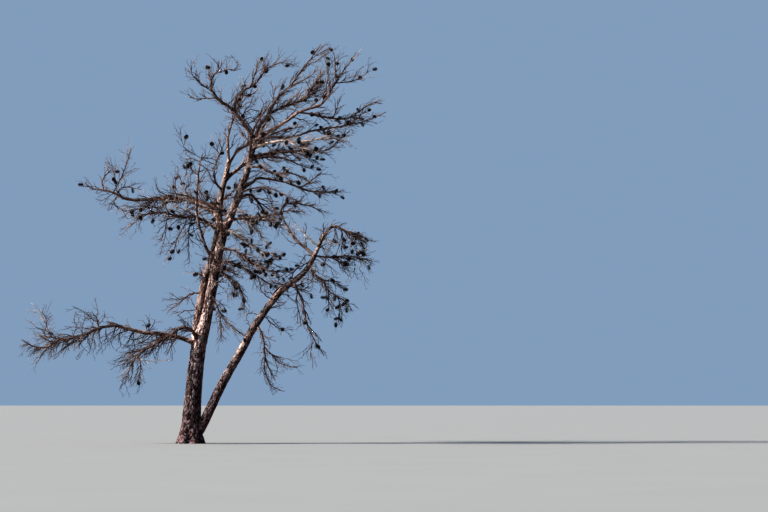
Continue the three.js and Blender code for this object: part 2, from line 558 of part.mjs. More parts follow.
// Shortest distance between two straight pieces of wood, from centre line to centre line.
function distance(p, q) {
  const d1 = p.b.clone().sub(p.a);
  const d2 = q.b.clone().sub(q.a);
  const r = p.a.clone().sub(q.a);
  const [a, e, f, c, b] = [d1.dot(d1), d2.dot(d2), d2.dot(r), d1.dot(r), d1.dot(d2)];
  const clamp = (v) => Math.min(1, Math.max(0, v));
  const spread = a * e - b * b;
  let s = spread > SAME_HEADING ? clamp((b * f - c * e) / spread) : 0;
  let t = (b * s + f) / e;
  if (t < 0 || t > 1) {
    t = clamp(t);
    s = clamp((b * t - c) / a);
  }
  return p.a.clone().addScaledVector(d1, s).distanceTo(q.a.clone().addScaledVector(d2, t));
}

// Every straight piece of wood that stands so far, with the node that owns it.
const standing = [];

function stand(owner, path) {
  for (let i = 0; i < path.rings; i++) {
    standing.push({ owner, a: path.centres[i], b: path.centres[i + 1], radius: path.radius(i / path.rings) });
  }
}

// True if a new piece keeps to the crown and touches nothing that another node owns.
function fits(owner, piece) {
  const clear = (s) => distance(s, piece) > s.radius + piece.radius + TWIG_CLEARANCE;
  return CROWN.containsPoint(piece.b) && standing.every((s) => s.owner === owner || clear(s));
}

const paths = new Map(); // limb name to its path

function startOf({ from, height }) {
  const parent = paths.get(from);
  return height === TIP ? parent.centres.at(-1) : parent.atHeight(height);
}

// The trunk swells into roots at its foot, which stand out in lobes.
function trunkRadius(path) {
  return (share, angle) => {
    const height = Math.max(0, path.at(share).z);
    const lobes = 1 + FLARE_LOBE_DEPTH * Math.cos(FLARE_LOBES * angle);
    return path.radius(share) + FLARE * lobes * Math.exp(-height / FLARE_HEIGHT);
  };
}

// Each solid made so far, swollen by the gap, to cut the next ones clear of it.
const cutters = [];

function cutClear(solid) {
  for (const cutter of cutters) {
    if (boxesMeet(solid, cutter)) solid = solid.subtract(cutter);
  }
  return largest(solid);
}

function growLimb(limb) {
  const isTrunk = !limb.from;
  const start = isTrunk ? new THREE.Vector3(0, 0, -BELOW_CUT) : startOf(limb);
  const spacing = isTrunk ? TRUNK_RING_SPACING : LIMB_RING_SPACING;
  const path = new Path([start, ...limb.route.map(vector)], limb.foot, limb.tip, spacing);
  const sides = isTrunk ? TRUNK_SIDES : limb.foot > LEADER_RADIUS ? LEADER_SIDES : BOUGH_SIDES;
  const radius = isTrunk ? trunkRadius(path) : undefined;
  let solid = sweep(path, sides, { radius });
  let cutter = sweep(path, sides, { radius, swell: SOLID_GAP });
  if (isTrunk) [solid, cutter] = [solid, cutter].map((s) => s.trimByPlane([0, 0, 1], 0));
  solid = cutClear(solid);
  cutters.push(cutter);
  paths.set(limb.name, path);
  stand(limb.name, path);
  return solid;
}

// The stem and forks of a mass, which are set by hand, before any twig is placed.
function growStem(mass) {
  const places = [startOf(mass), ...mass.route.map(vector)];
  const stem = new Path(places, mass.foot, STEM_TIP, STEM_RING_SPACING);
  stand(mass.name, stem);
  const forks = mass.forks.map(([share, route]) => {
    const foot = Math.min(stem.radius(share) * FORK_ROOT_SHARE, FORK_ROOT);
    return new Path([stem.at(share), ...route.map(vector)], foot, FORK_TIP, STEM_RING_SPACING);
  });
  forks.forEach((fork) => stand(mass.name, fork));
  return [stem, ...forks];
}

// Twigs along one path of a mass. They wind round it, shorten towards its tip and lean as the mass does.
function growTwigs(mass, seed, path, pathNumber) {
  const twigs = [];
  const count = Math.floor(path.length / TWIG_SPACING);
  for (let i = 0; i < count; i++) {
    const roll = (n) => chance(seed, pathNumber, i, n);
    const share = between(TWIG_SPAN, (i + between(TWIG_JITTER, roll(0))) / count);
    const heading = path.heading(share);
    const level = new THREE.Vector3().crossVectors(heading, UP);
    if (level.length() < UPRIGHT) level.copy(ACROSS);
    level.normalize();
    const over = new THREE.Vector3().crossVectors(level, heading);
    const turn = GOLDEN_TURN * i + TURN_JITTER * roll(1);
    const spread = between(TWIG_SPREAD, roll(2));
    const length = mass.reach * (1 - TWIG_SHORTENING * share) * between(TWIG_LENGTH, roll(3));
    const direction = heading
      .multiplyScalar(Math.cos(spread))
      .addScaledVector(level, Math.cos(turn) * Math.sin(spread))
      .addScaledVector(over, Math.sin(turn) * Math.sin(spread) * TWIG_FLATNESS)
      .add(vector(mass.lean))
      .normalize();
    const root = path.at(share);
    const thickest = TWIG_ROOT_SHARE * path.radius(share);
    const radius = Math.min(TWIG_ROOT_RADIUS + TWIG_RADIUS_SHARE * length, thickest);
    const twig = { a: root, b: root.clone().addScaledVector(direction, length), radius };
    if (!fits(mass.name, twig)) continue;
    standing.push({ owner: mass.name, ...twig });
    twigs.push(twig);
  }
  return twigs;
}

// Cones at the points of a mass's twigs, hanging outwards. A twig carries one at most.
function growCones(mass, seed, twigs) {
  const cones = [];
  const bare = [...twigs];
  for (let i = 0; cones.length < mass.cones && i < CONE_TRIES * mass.cones && bare.length; i++) {
    const roll = (n) => chance(seed, CONE_KEY, i, n);
    const [twig] = bare.splice(Math.floor(roll(0) * bare.length), 1);
    const direction = twig.b.clone().sub(twig.a).normalize();
    direction.add(new THREE.Vector3(roll(1) - 0.5, roll(2) - 0.5, -CONE_DROOP * roll(3))).normalize();
    const length = between(CONE_LENGTH, roll(4));
    const tip = twig.b.clone().addScaledVector(direction, length);
    const piece = { a: twig.b, b: tip, radius: (length * CONE_WIDTH_SHARE) / 2 };
    if (!fits(mass.name, piece)) continue;
    standing.push({ owner: mass.name, ...piece });
    cones.push(cone({ foot: twig.b, direction, length }));
  }
  return cones;
}

const tree = new THREE.Group();

function addNode(name, solid, material) {
  const mesh = new THREE.Mesh(geometryOf(solid), material);
  mesh.name = name;
  tree.add(mesh);
}

for (const limb of LIMBS) addNode(limb.name, growLimb(limb), BARK);

const stems = MASSES.map(growStem);
MASSES.forEach((mass, seed) => {
  const branches = stems[seed].map((path, n) => sweep(path, n === 0 ? STEM_SIDES : TWIG_SIDES));
  const twigs = stems[seed].flatMap((path, n) => growTwigs(mass, seed, path, n));
  const spikes = twigs.map((twig) => spike(twig.a, twig.b, twig.radius));
  const solid = wasm.Manifold.union([...branches, ...spikes, ...growCones(mass, seed, twigs)]);
  addNode(mass.name, cutClear(solid), TWIG_BARK);
  cutters.push(sweep(stems[seed][0], STEM_SIDES, { swell: SOLID_GAP }));
});

export default tree;
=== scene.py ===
# A dead pine, bare of needles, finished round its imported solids.
# The limbs get bark with its relief, and each mass of twigs is grown again by the rule of the solids,
# then carried on to finer twigs and cones within the same reach.
# Metres, +Z up, +X to the right and +Y to the back. The origin is on the flat cut under the trunk.

import json
import math

import bmesh
import bpy
import numpy as np
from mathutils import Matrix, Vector

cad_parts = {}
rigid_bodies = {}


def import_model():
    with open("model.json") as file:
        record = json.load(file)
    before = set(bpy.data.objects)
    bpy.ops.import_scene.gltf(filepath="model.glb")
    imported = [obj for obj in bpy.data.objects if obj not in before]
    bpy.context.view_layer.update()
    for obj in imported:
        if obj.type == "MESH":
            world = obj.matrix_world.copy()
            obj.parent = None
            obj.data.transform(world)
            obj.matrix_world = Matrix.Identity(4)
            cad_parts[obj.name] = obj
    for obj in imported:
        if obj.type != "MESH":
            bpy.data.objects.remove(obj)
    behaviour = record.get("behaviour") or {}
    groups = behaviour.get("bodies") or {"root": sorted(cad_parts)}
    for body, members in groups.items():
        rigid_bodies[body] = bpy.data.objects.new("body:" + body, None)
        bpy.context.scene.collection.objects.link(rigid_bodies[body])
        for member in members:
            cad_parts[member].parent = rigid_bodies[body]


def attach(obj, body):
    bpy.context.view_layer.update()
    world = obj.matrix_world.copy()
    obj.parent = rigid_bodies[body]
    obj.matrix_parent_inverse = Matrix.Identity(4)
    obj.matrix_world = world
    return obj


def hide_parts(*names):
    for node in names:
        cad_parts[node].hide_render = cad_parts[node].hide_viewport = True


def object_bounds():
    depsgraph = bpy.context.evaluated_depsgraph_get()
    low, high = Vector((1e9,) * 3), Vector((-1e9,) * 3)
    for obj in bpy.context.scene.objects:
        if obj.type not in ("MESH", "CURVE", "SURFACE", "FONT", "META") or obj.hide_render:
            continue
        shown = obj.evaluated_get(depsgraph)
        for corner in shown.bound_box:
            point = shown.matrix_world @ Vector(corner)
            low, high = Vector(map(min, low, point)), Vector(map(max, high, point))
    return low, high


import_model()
CAD_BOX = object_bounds()

# Growth, as in the solids
CROWN_LOW = np.array([-3.4, -2.25, 0.62])  # furthest that a twig reaches to the left, the front and down
CROWN_HIGH = np.array([3.96, 2.35, 8.12])  # and to the right, the back and up
TWIG_CLEARANCE = 0.004
TAPER = 1.25
FLARE = 0.105
FLARE_HEIGHT = 0.26
FLARE_LOBES = 5
FLARE_LOBE_DEPTH = 0.4
BELOW_CUT = 0.09
TRUNK_RING_SPACING = 0.15
LIMB_RING_SPACING = 0.34
STEM_RING_SPACING = 0.29
STEM_TIP = 0.006
FORK_TIP = 0.0045
FORK_ROOT = 0.014
FORK_ROOT_SHARE = 0.75
TWIG_SPACING = 0.225
TWIG_SPAN = (0.08, 0.98)
TWIG_JITTER = (0.2, 0.8)
TWIG_TURN_JITTER = 0.9
TWIG_SPREAD = (0.62, 1.15)
TWIG_LENGTH = (0.75, 1.4)
TWIG_SHORTENING = 0.55
TWIG_FLATNESS = 0.75
TWIG_ROOT_RADIUS = 0.0055
TWIG_RADIUS_SHARE = 0.009
TWIG_ROOT_SHARE = 0.45
GOLDEN_TURN = 2.39996
CONE_LENGTH = (0.084, 0.104)
CONE_WIDTH_SHARE = 0.74
CONE_DROOP = 0.8
CONE_TRIES = 2
CONE_KEY = 901  # keeps the draws for cones apart from those for twigs
UPRIGHT = 0.1  # a heading nearer to straight up than this has no level side of its own
CURVE_STEPS = 200
CHUNK = 4000  # places that are worked out at a time

PIXEL = 0.02  # metres for each pixel of the photograph, at the tree
FOOT_PIXEL = (191, 443)
PHOTO_SIZE = (768, 512)
CAMERA_DISTANCE = 40.0
CAMERA_HEIGHT = 0.9
MIDDLE_X = (PHOTO_SIZE[0] / 2 - FOOT_PIXEL[0]) * PIXEL
MIDDLE_Z = (FOOT_PIXEL[1] - PHOTO_SIZE[1] / 2) * PIXEL

TIP = None  # grows from the end of its parent, instead of from a height

# Limbs: the name of each, its parent, the height where it leaves that, the radii of its foot and its tip,
# and the places that it passes after its start.
LIMBS = [dict(zip(("name", "parent", "height", "foot", "tip", "route"), row)) for row in (
    ("trunk", None, None, 0.176, 0.15,
     [(0.02, 0, 0.46), (0.06, 0, 1.06), (0.12, 0, 1.66), (0.175, 0, 2.06)]),
    ("left_stem", "trunk", 1.8, 0.092, 0.05,
     [(0.1, 0.06, 2.26), (0.235, 0.11, 3.1), (0.37, 0.115, 3.62), (0.49, 0.11, 4.08), (0.54, 0.09, 4.52),
      (0.59, 0.07, 5.02), (0.68, 0.08, 5.38), (0.73, 0.09, 5.66)]),
    ("right_stem", "trunk", 1.75, 0.116, 0.052,
     [(0.27, -0.07, 2.26), (0.44, -0.11, 3.16), (0.6, -0.1, 4), (0.86, -0.05, 4.74), (1.1, 0, 5.42),
      (1.26, 0.02, 6.08)]),
    ("right_arm", "trunk", 0.09, 0.102, 0.05,
     [(0.245, -0.04, 0.37), (0.64, -0.13, 1.18), (1.045, -0.195, 1.88), (1.27, -0.23, 2.3),
      (1.765, -0.285, 2.97), (2.26, -0.315, 3.38), (2.48, -0.32, 3.72)]),
    ("left_arm", "left_stem", 4.56, 0.05, 0.033,
     [(0.315, 0.13, 4.7), (-0.16, 0.24, 4.91), (-0.78, 0.33, 4.92), (-1.085, 0.36, 4.905)]),
    ("left_spire", "left_stem", 3.74, 0.032, 0.02,
     [(0.275, -0.06, 3.955), (0.13, -0.28, 4.54), (0.13, -0.29, 5), (0.145, -0.28, 5.28)]),
    ("low_left_bough", "trunk", 1.96, 0.046, 0.036,
     [(-0.01, -0.06, 2.035), (-0.405, -0.14, 2.15), (-0.955, -0.21, 2.21), (-1.485, -0.26, 2.345)]),
    ("top_left_limb", "right_stem", TIP, 0.048, 0.037,
     [(1.08, -0.02, 6.35), (0.945, -0.06, 6.52), (0.85, -0.09, 6.665)]),
    ("top_mid_limb", "right_stem", TIP, 0.04, 0.027,
     [(1.315, 0.08, 6.315), (1.415, 0.14, 6.485), (1.53, 0.2, 6.635)]),
    ("top_right_limb", "right_stem", TIP, 0.044, 0.028,
     [(1.44, -0.08, 6.185), (1.695, -0.17, 6.31), (1.98, -0.26, 6.48), (2.14, -0.31, 6.595)]),
    ("long_right_limb", "right_stem", 6, 0.034, 0.022,
     [(1.56, 0.1, 6.155), (1.84, 0.16, 6.145), (2.1, 0.21, 6.19)]),
    ("right_bough", "right_stem", 5.08, 0.032, 0.022,
     [(1.2, 0.06, 5.22), (1.36, 0.13, 5.325), (1.855, 0.29, 5.265)]),
    ("left_leader", "left_stem", TIP, 0.032, 0.02,
     [(0.71, 0.13, 5.895), (0.705, 0.17, 6.145), (0.76, 0.21, 6.395)]),
    ("cross_limb", "left_stem", 5.3, 0.042, 0.026,
     [(0.905, 0.24, 5.52), (1.06, 0.35, 5.655), (1.29, 0.52, 5.78)]),
    ("arm_left_limb", "right_arm", TIP, 0.038, 0.021,
     [(2.31, -0.3, 3.87), (2.07, -0.28, 4.08), (1.84, -0.24, 4.46)]),
    ("arm_right_limb", "right_arm", TIP, 0.04, 0.024,
     [(2.57, -0.34, 3.92), (2.66, -0.36, 4.12), (2.79, -0.38, 4.27), (2.92, -0.4, 4.31)]),
)]

# Masses of twigs. Each has a stem that carries its limb on, with forks that leave the stem at a share of
# its length. reach is the length of the twigs at the stem's foot, and lean bends them. tip_cones sit on the
# points of its twigs, as in the solids, and cones counts all of them.
MASS_FIELDS = ("name", "parent", "height", "foot", "reach", "lean", "tip_cones", "cones", "route", "forks")
MASSES = [dict(zip(MASS_FIELDS, row)) for row in (
    ("left_arm_tip", "left_arm", TIP, 0.032, 0.3, (0, 0, 0.35), 2, 5,
     [(-1.35, 0.38, 4.925), (-1.62, 0.4, 5.05), (-1.845, 0.41, 5.115), (-2.07, 0.42, 5.135),
      (-2.235, 0.43, 5.28)],
     [(0.47, [(-1.48, 0.38, 5.345), (-1.395, 0.35, 5.555), (-1.275, 0.32, 5.96)]),
      (0.62, [(-1.875, 0.48, 5.305), (-1.745, 0.53, 5.495), (-1.645, 0.54, 5.575), (-1.79, 0.56, 5.7)]),
      (0.42, [(-1.405, 0.3, 5.16), (-1.05, 0.22, 5.105)]),
      (0.38, [(-1.61, 0.33, 4.86), (-1.5, 0.29, 4.715), (-1.295, 0.26, 4.65)])]),
    ("left_under", "left_stem", 4.3, 0.04, 0.42, (-0.1, 0, -0.25), 4, 14,
     [(0.265, 0.02, 4.445), (0.065, 0, 4.525), (-0.23, -0.08, 4.52), (-0.52, -0.16, 4.59),
      (-0.815, -0.22, 4.585), (-1.045, -0.26, 4.46), (-1.2, -0.29, 4.3)],
     [(0.62, [(-0.785, -0.12, 4.755), (-1.07, -0.08, 4.68), (-1.395, -0.06, 4.64)]),
      (0.3, [(-0.045, -0.07, 4.295), (-0.055, -0.08, 3.955), (-0.06, -0.07, 3.635)]),
      (0.36, [(-0.12, -0.13, 4.375), (-0.255, -0.17, 4.11), (-0.51, -0.2, 3.745)]),
      (0.55, [(-0.465, -0.28, 4.42), (-0.52, -0.32, 4.175), (-0.595, -0.34, 4.035)])]),
    ("spire_top", "left_spire", TIP, 0.019, 0.22, (0, 0, 0.2), 1, 3,
     [(0.165, -0.27, 5.485), (0.22, -0.26, 5.745)],
     [(0.85, [(0.05, -0.33, 5.775), (-0.125, -0.38, 5.89), (-0.205, -0.4, 6.21)]),
      (0.7, [(0.02, -0.22, 5.68), (-0.085, -0.2, 5.63), (-0.09, -0.19, 5.35)]),
      (0.9, [(0.425, -0.3, 5.67), (0.55, -0.33, 5.595)]),
      (0.1, [(0, -0.2, 5.47), (-0.085, -0.19, 5.615)])]),
    ("left_back", "left_stem", 4.7, 0.034, 0.38, (-0.1, 0.1, 0.4), 2, 7,
     [(0.2, 0.42, 4.86), (-0.1, 0.7, 5), (-0.22, 0.86, 5.14), (-0.3, 0.95, 5.32), (-0.38, 1, 5.52)],
     [(0.6, [(-0.38, 0.64, 5.06), (-0.48, 0.6, 5.26)]),
      (0.75, [(-0.14, 1.1, 5.34), (-0.16, 1.24, 5.56)])]),
    ("low_left_tip", "low_left_bough", TIP, 0.031, 0.36, (-0.2, 0, -0.15), 1, 2,
     [(-1.78, -0.28, 2.285), (-2.07, -0.31, 2.165), (-2.325, -0.33, 2.085), (-2.58, -0.35, 2.035),
      (-2.795, -0.37, 1.915), (-3.025, -0.39, 1.905), (-3.285, -0.4, 2.025)],
     [(0.55, [(-2.735, -0.25, 2.1), (-2.895, -0.21, 2.16), (-2.86, -0.19, 2.37), (-2.895, -0.17, 2.57)]),
      (0.17, [(-1.835, -0.33, 2.465), (-1.93, -0.35, 2.6)])]),
    ("low_left_droop", "trunk", 2.03, 0.04, 0.34, (-0.2, 0, -0.3), 0, 1,
     [(0.045, -0.26, 2.23), (-0.16, -0.38, 2.295), (-0.31, -0.46, 2.17), (-0.5, -0.54, 2.05),
      (-0.705, -0.64, 1.92), (-0.94, -0.76, 1.77), (-1.085, -0.86, 1.525), (-1.175, -0.9, 1.23)],
     [(0.6, [(-0.83, -0.56, 1.885), (-1.09, -0.52, 1.765), (-1.29, -0.5, 1.55)]),
      (0.75, [(-0.89, -0.86, 1.545), (-0.94, -0.9, 1.23)])]),
    ("left_stem_twigs", "left_stem", 3, 0.015, 0.24, (-0.1, 0, -0.1), 0, 0,
     [(0.005, 0.12, 2.995), (-0.14, 0.16, 2.905), (-0.325, 0.22, 2.765), (-0.495, 0.28, 2.65)],
     [(0.45, [(-0.275, 0.1, 2.88), (-0.43, 0.04, 2.89)])]),
    ("top_left_tip", "top_left_limb", TIP, 0.035, 0.24, (-0.1, 0, 0.4), 1, 2,
     [(0.705, -0.11, 6.765), (0.555, -0.12, 6.865), (0.445, -0.13, 6.985), (0.38, -0.13, 7.155),
      (0.42, -0.12, 7.36), (0.52, -0.1, 7.485), (0.535, -0.08, 7.675)],
     [(0.42, [(0.225, -0.2, 7.165), (0.09, -0.24, 7.28), (-0.01, -0.26, 7.44), (0.03, -0.26, 7.625)]),
      (0.58, [(0.335, -0.06, 7.39), (0.33, -0.02, 7.58)]),
      (0.75, [(0.665, -0.18, 7.475), (0.89, -0.23, 7.485), (0.93, -0.24, 7.655)]),
      (0.33, [(0.255, -0.04, 6.92), (0.05, 0, 6.915), (-0.115, 0.02, 7.02)])]),
    ("top_left_spray", "top_left_limb", TIP, 0.028, 0.3, (0.25, 0, 0.45), 2, 6,
     [(0.875, 0.04, 6.92), (1.025, 0.14, 7.1), (1.2, 0.23, 7.235), (1.34, 0.3, 7.39), (1.415, 0.35, 7.58),
      (1.395, 0.38, 7.795)],
     [(0.65, [(1.545, 0.26, 7.61), (1.79, 0.22, 7.685), (2.055, 0.2, 7.62)]),
      (0.5, [(1.265, 0.2, 7.515), (1.285, 0.18, 7.74)]),
      (0.3, [(1.155, 0.06, 7.005), (1.32, -0.04, 7.09)])]),
    ("high_tip", "top_mid_limb", TIP, 0.026, 0.34, (0.45, 0, 0.35), 1, 4,
     [(1.69, 0.26, 6.955), (1.95, 0.32, 7.23), (2.19, 0.38, 7.565), (2.39, 0.43, 7.84),
      (2.57, 0.47, 8.115)],
     [(0.38, [(2.175, 0.26, 7.31), (2.4, 0.18, 7.43), (2.485, 0.14, 7.545)]),
      (0.78, [(2.595, 0.36, 7.935), (2.76, 0.3, 8.005)]),
      (0.68, [(2.51, 0.5, 7.79), (2.695, 0.54, 7.945)]),
      (0.15, [(1.6, 0.42, 6.995), (1.65, 0.56, 7.285)])]),
    ("high_right", "top_mid_limb", TIP, 0.024, 0.3, (0.35, 0, 0.45), 2, 7,
     [(1.82, 0.06, 6.76), (2.11, -0.04, 6.845), (2.31, -0.1, 6.96), (2.435, -0.14, 7.135),
      (2.595, -0.17, 7.435)],
     [(0.5, [(2.445, 0.04, 7.04), (2.585, 0.12, 7.215)])]),
    ("top_right_tip", "top_right_limb", TIP, 0.027, 0.32, (0.35, 0, 0.45), 3, 8,
     [(2.36, -0.36, 6.665), (2.585, -0.41, 6.73), (2.745, -0.44, 6.91), (2.865, -0.47, 7.145),
      (3.065, -0.5, 7.42), (3.28, -0.53, 7.7)],
     [(0.6, [(3.18, -0.42, 7.205), (3.38, -0.4, 7.275), (3.56, -0.39, 7.42)]),
      (0.62, [(2.885, -0.56, 7.49), (2.865, -0.6, 7.745)]),
      (0.5, [(2.76, -0.38, 7.24), (2.72, -0.36, 7.465), (2.7, -0.35, 7.65)]),
      (0.35, [(2.65, -0.6, 6.905), (2.77, -0.76, 7.08)])]),
    ("top_right_lower", "top_right_limb", TIP, 0.02, 0.26, (0.45, 0, 0.15), 2, 9,
     [(2.415, -0.2, 6.58), (2.675, -0.12, 6.52), (2.975, -0.06, 6.5), (3.215, -0.01, 6.555),
      (3.435, 0.03, 6.725), (3.8, 0.08, 6.925)],
     [(0.4, [(2.895, -0.16, 6.645), (2.98, -0.22, 6.9)]),
      (0.62, [(3.195, -0.12, 6.41), (3.4, -0.16, 6.485)])]),
    ("long_right_tip", "long_right_limb", TIP, 0.021, 0.3, (0.45, 0, 0.15), 3, 9,
     [(2.4, 0.26, 6.3), (2.765, 0.31, 6.365), (3.13, 0.35, 6.435), (3.535, 0.39, 6.54), (3.9, 0.42, 6.71)],
     [(0.3, [(2.68, 0.42, 6.26), (2.945, 0.48, 6.205)]),
      (0.55, [(3.255, 0.2, 6.495), (3.495, 0.14, 6.69)])]),
    ("pale_right", "right_stem", 5.92, 0.03, 0.28, (0.4, 0, 0.1), 3, 8,
     [(1.535, -0.15, 6), (1.86, -0.29, 6.025), (2.145, -0.39, 5.99), (2.425, -0.46, 6.02),
      (2.665, -0.5, 6.075), (2.865, -0.54, 6.21)],
     [(0.7, [(2.885, -0.48, 6.04), (3.185, -0.48, 5.96)]),
      (0.45, [(2.21, -0.52, 5.855), (2.435, -0.64, 5.82)])]),
    ("lower_right", "right_stem", 5.72, 0.034, 0.3, (0.4, 0, 0), 4, 14,
     [(1.395, 0.13, 5.795), (1.635, 0.25, 5.85), (2.11, 0.43, 5.91), (2.395, 0.48, 5.92),
      (2.7, 0.52, 5.945), (3.045, 0.55, 6.255), (3.165, 0.56, 6.34)],
     [(0.42, [(2.235, 0.34, 5.8), (2.525, 0.29, 5.67)]),
      (0.35, [(2.025, 0.56, 5.99), (2.26, 0.72, 6.07)])]),
    ("small_right", "right_stem", 5.54, 0.022, 0.26, (0.35, 0, -0.1), 3, 11,
     [(1.42, -0.24, 5.495), (1.63, -0.38, 5.37), (1.99, -0.48, 5.36), (2.255, -0.54, 5.255),
      (2.435, -0.58, 5.13)],
     [(0.5, [(1.92, -0.62, 5.245), (2.085, -0.74, 5.13)])]),
    ("right_bough_tip", "right_bough", TIP, 0.021, 0.3, (0.4, 0, 0.1), 1, 4,
     [(2.115, 0.36, 5.17), (2.355, 0.42, 5.095), (2.62, 0.47, 5.08), (2.945, 0.52, 5.095)],
     [(0.3, [(2.38, 0.3, 5.285), (2.605, 0.24, 5.46)]),
      (0.5, [(2.495, 0.62, 5.05), (2.67, 0.82, 5.115)])]),
    ("thin_right", "right_stem", 5.02, 0.016, 0.22, (0.3, 0, -0.2), 2, 6,
     [(1.22, -0.22, 5.075), (1.45, -0.34, 5.085), (1.675, -0.43, 5.025), (1.895, -0.5, 4.92),
      (2.235, -0.57, 4.75)],
     [(0.35, [(1.565, -0.26, 4.96), (1.64, -0.22, 4.805)])]),
    ("leader_tip", "left_leader", TIP, 0.019, 0.28, (0.1, 0.2, 0.4), 1, 4,
     [(0.82, 0.24, 6.58), (0.895, 0.27, 6.79), (0.975, 0.3, 7), (1.01, 0.34, 7.25)],
     [(0.3, [(0.71, 0.36, 6.7), (0.64, 0.46, 6.92)])]),
    ("leader_right", "left_stem", 5.56, 0.026, 0.32, (0.35, 0.1, 0.25), 2, 5,
     [(0.885, 0.22, 5.875), (1.045, 0.27, 5.985), (1.38, 0.42, 6.135), (1.635, 0.56, 6.3),
      (2.215, 0.82, 6.475)],
     [(0.6, [(1.745, 0.76, 6.24), (1.945, 0.94, 6.245)])]),
    ("cross_tip", "cross_limb", TIP, 0.025, 0.34, (0.2, 0.2, 0.2), 2, 6,
     [(1.525, 0.74, 5.825), (1.82, 0.98, 5.815), (2.12, 1.2, 5.715), (2.385, 1.36, 5.65)],
     [(0.4, [(1.63, 1.06, 5.97), (1.68, 1.3, 6.165)])]),
    ("leader_left", "left_stem", 5.06, 0.022, 0.2, (-0.1, -0.1, 0.3), 1, 2,
     [(0.48, -0.07, 5.225), (0.45, -0.13, 5.42), (0.515, -0.16, 5.655), (0.615, -0.18, 5.875),
      (0.675, -0.19, 6.035)],
     [(0.75, [(0.44, -0.26, 5.925), (0.405, -0.3, 6)]),
      (0.85, [(0.54, -0.24, 6.07)])]),
    ("pale_mid", "right_stem", 4.74, 0.017, 0.24, (0.2, -0.1, -0.3), 2, 7,
     [(1.045, -0.24, 4.585), (1.195, -0.35, 4.415), (1.34, -0.44, 4.225), (1.485, -0.52, 4.02),
      (1.565, -0.57, 3.88)],
     []),
    ("mid_front", "right_stem", 4.43, 0.03, 0.3, (0.3, -0.1, -0.1), 4, 15,
     [(0.91, -0.3, 4.45), (1.08, -0.47, 4.445), (1.375, -0.69, 4.445), (1.62, -0.86, 4.37),
      (1.845, -0.98, 4.22)],
     [(0.45, [(1.205, -0.82, 4.37), (1.3, -1.06, 4.29)]),
      (0.6, [(1.59, -0.64, 4.505), (1.8, -0.56, 4.515)])]),
    ("mid_back", "right_stem", 4.9, 0.032, 0.34, (0.2, 0.2, -0.1), 2, 7,
     [(1.14, 0.24, 5), (1.28, 0.42, 4.9), (1.4, 0.64, 4.72), (1.56, 0.9, 4.56), (1.76, 1.16, 4.46)],
     [(0.4, [(1.48, 0.42, 4.76), (1.7, 0.44, 4.6)]),
      (0.6, [(1.36, 1.08, 4.64), (1.3, 1.34, 4.6)])]),
    ("pale_low", "right_stem", 4.24, 0.018, 0.26, (0.2, 0, -0.2), 3, 11,
     [(0.835, -0.34, 4.195), (1.07, -0.52, 4.04), (1.255, -0.65, 3.89), (1.5, -0.79, 3.745),
      (1.745, -0.9, 3.735)],
     []),
    ("cone_front", "right_stem", 3.88, 0.03, 0.3, (0.2, 0, -0.15), 5, 21,
     [(0.835, -0.28, 3.84), (1.04, -0.4, 3.73), (1.245, -0.5, 3.565), (1.51, -0.58, 3.43),
      (1.77, -0.64, 3.38), (2.05, -0.7, 3.395)],
     [(0.45, [(1.32, -0.72, 3.51), (1.49, -0.92, 3.4)]),
      (0.6, [(1.625, -0.52, 3.605), (1.82, -0.52, 3.725)])]),
    ("cone_back", "right_stem", 3.62, 0.028, 0.32, (0.1, 0.2, -0.2), 3, 10,
     [(0.78, 0.16, 3.62), (0.98, 0.36, 3.54), (1.22, 0.54, 3.42), (1.44, 0.7, 3.26), (1.64, 0.84, 3.16)],
     [(0.5, [(1.18, 0.76, 3.4), (1.24, 1, 3.38)])]),
    ("hanging_cones", "right_stem", 3.46, 0.017, 0.2, (0, 0, -0.4), 2, 9,
     [(0.755, -0.26, 3.32), (0.94, -0.34, 3.14), (1.065, -0.39, 2.915), (1.085, -0.41, 2.64)],
     [(0.4, [(0.89, -0.46, 3.11), (0.915, -0.52, 2.93)])]),
    ("low_droop_right", "right_stem", 3, 0.015, 0.22, (0.1, 0, -0.35), 1, 3,
     [(0.565, -0.34, 2.68), (0.675, -0.44, 2.48), (0.82, -0.53, 2.335), (1.025, -0.61, 2.175),
      (1.165, -0.65, 2.095)],
     [(0.35, [(0.645, -0.54, 2.335), (0.67, -0.6, 2)])]),
    ("back_low", "left_stem", 3.3, 0.032, 0.36, (0, 0.2, 0), 1, 3,
     [(0.33, 0.48, 3.38), (0.38, 0.88, 3.5), (0.4, 1.28, 3.6), (0.34, 1.68, 3.68), (0.28, 2.08, 3.82)],
     [(0.5, [(0.64, 1.3, 3.52), (0.84, 1.48, 3.46)]),
      (0.65, [(0.1, 1.6, 3.54), (-0.14, 1.76, 3.48)])]),
    ("back_bough", "left_stem", 4.38, 0.038, 0.38, (0, 0.2, 0.25), 2, 5,
     [(0.43, 0.52, 4.64), (0.48, 0.92, 4.86), (0.56, 1.32, 5.04), (0.68, 1.72, 5.2), (0.8, 2.08, 5.44)],
     [(0.45, [(0.24, 1.24, 5.06), (0.02, 1.44, 5.12)]),
      (0.6, [(0.86, 1.48, 5.08), (1.1, 1.64, 5.16)])]),
    ("front_bough", "right_stem", 4.1, 0.036, 0.36, (0, -0.2, 0.2), 2, 6,
     [(0.64, -0.48, 4.28), (0.66, -0.88, 4.44), (0.64, -1.26, 4.56), (0.56, -1.62, 4.64),
      (0.46, -1.94, 4.82)],
     [(0.45, [(0.9, -1.16, 4.52), (1.14, -1.3, 4.5)]),
      (0.6, [(0.34, -1.42, 4.6), (0.12, -1.52, 4.66)])]),
    ("front_low", "right_stem", 3.28, 0.03, 0.34, (0, -0.2, 0), 1, 3,
     [(0.5, -0.5, 3.38), (0.62, -0.86, 3.46), (0.7, -1.2, 3.5), (0.78, -1.52, 3.5), (0.86, -1.82, 3.54)],
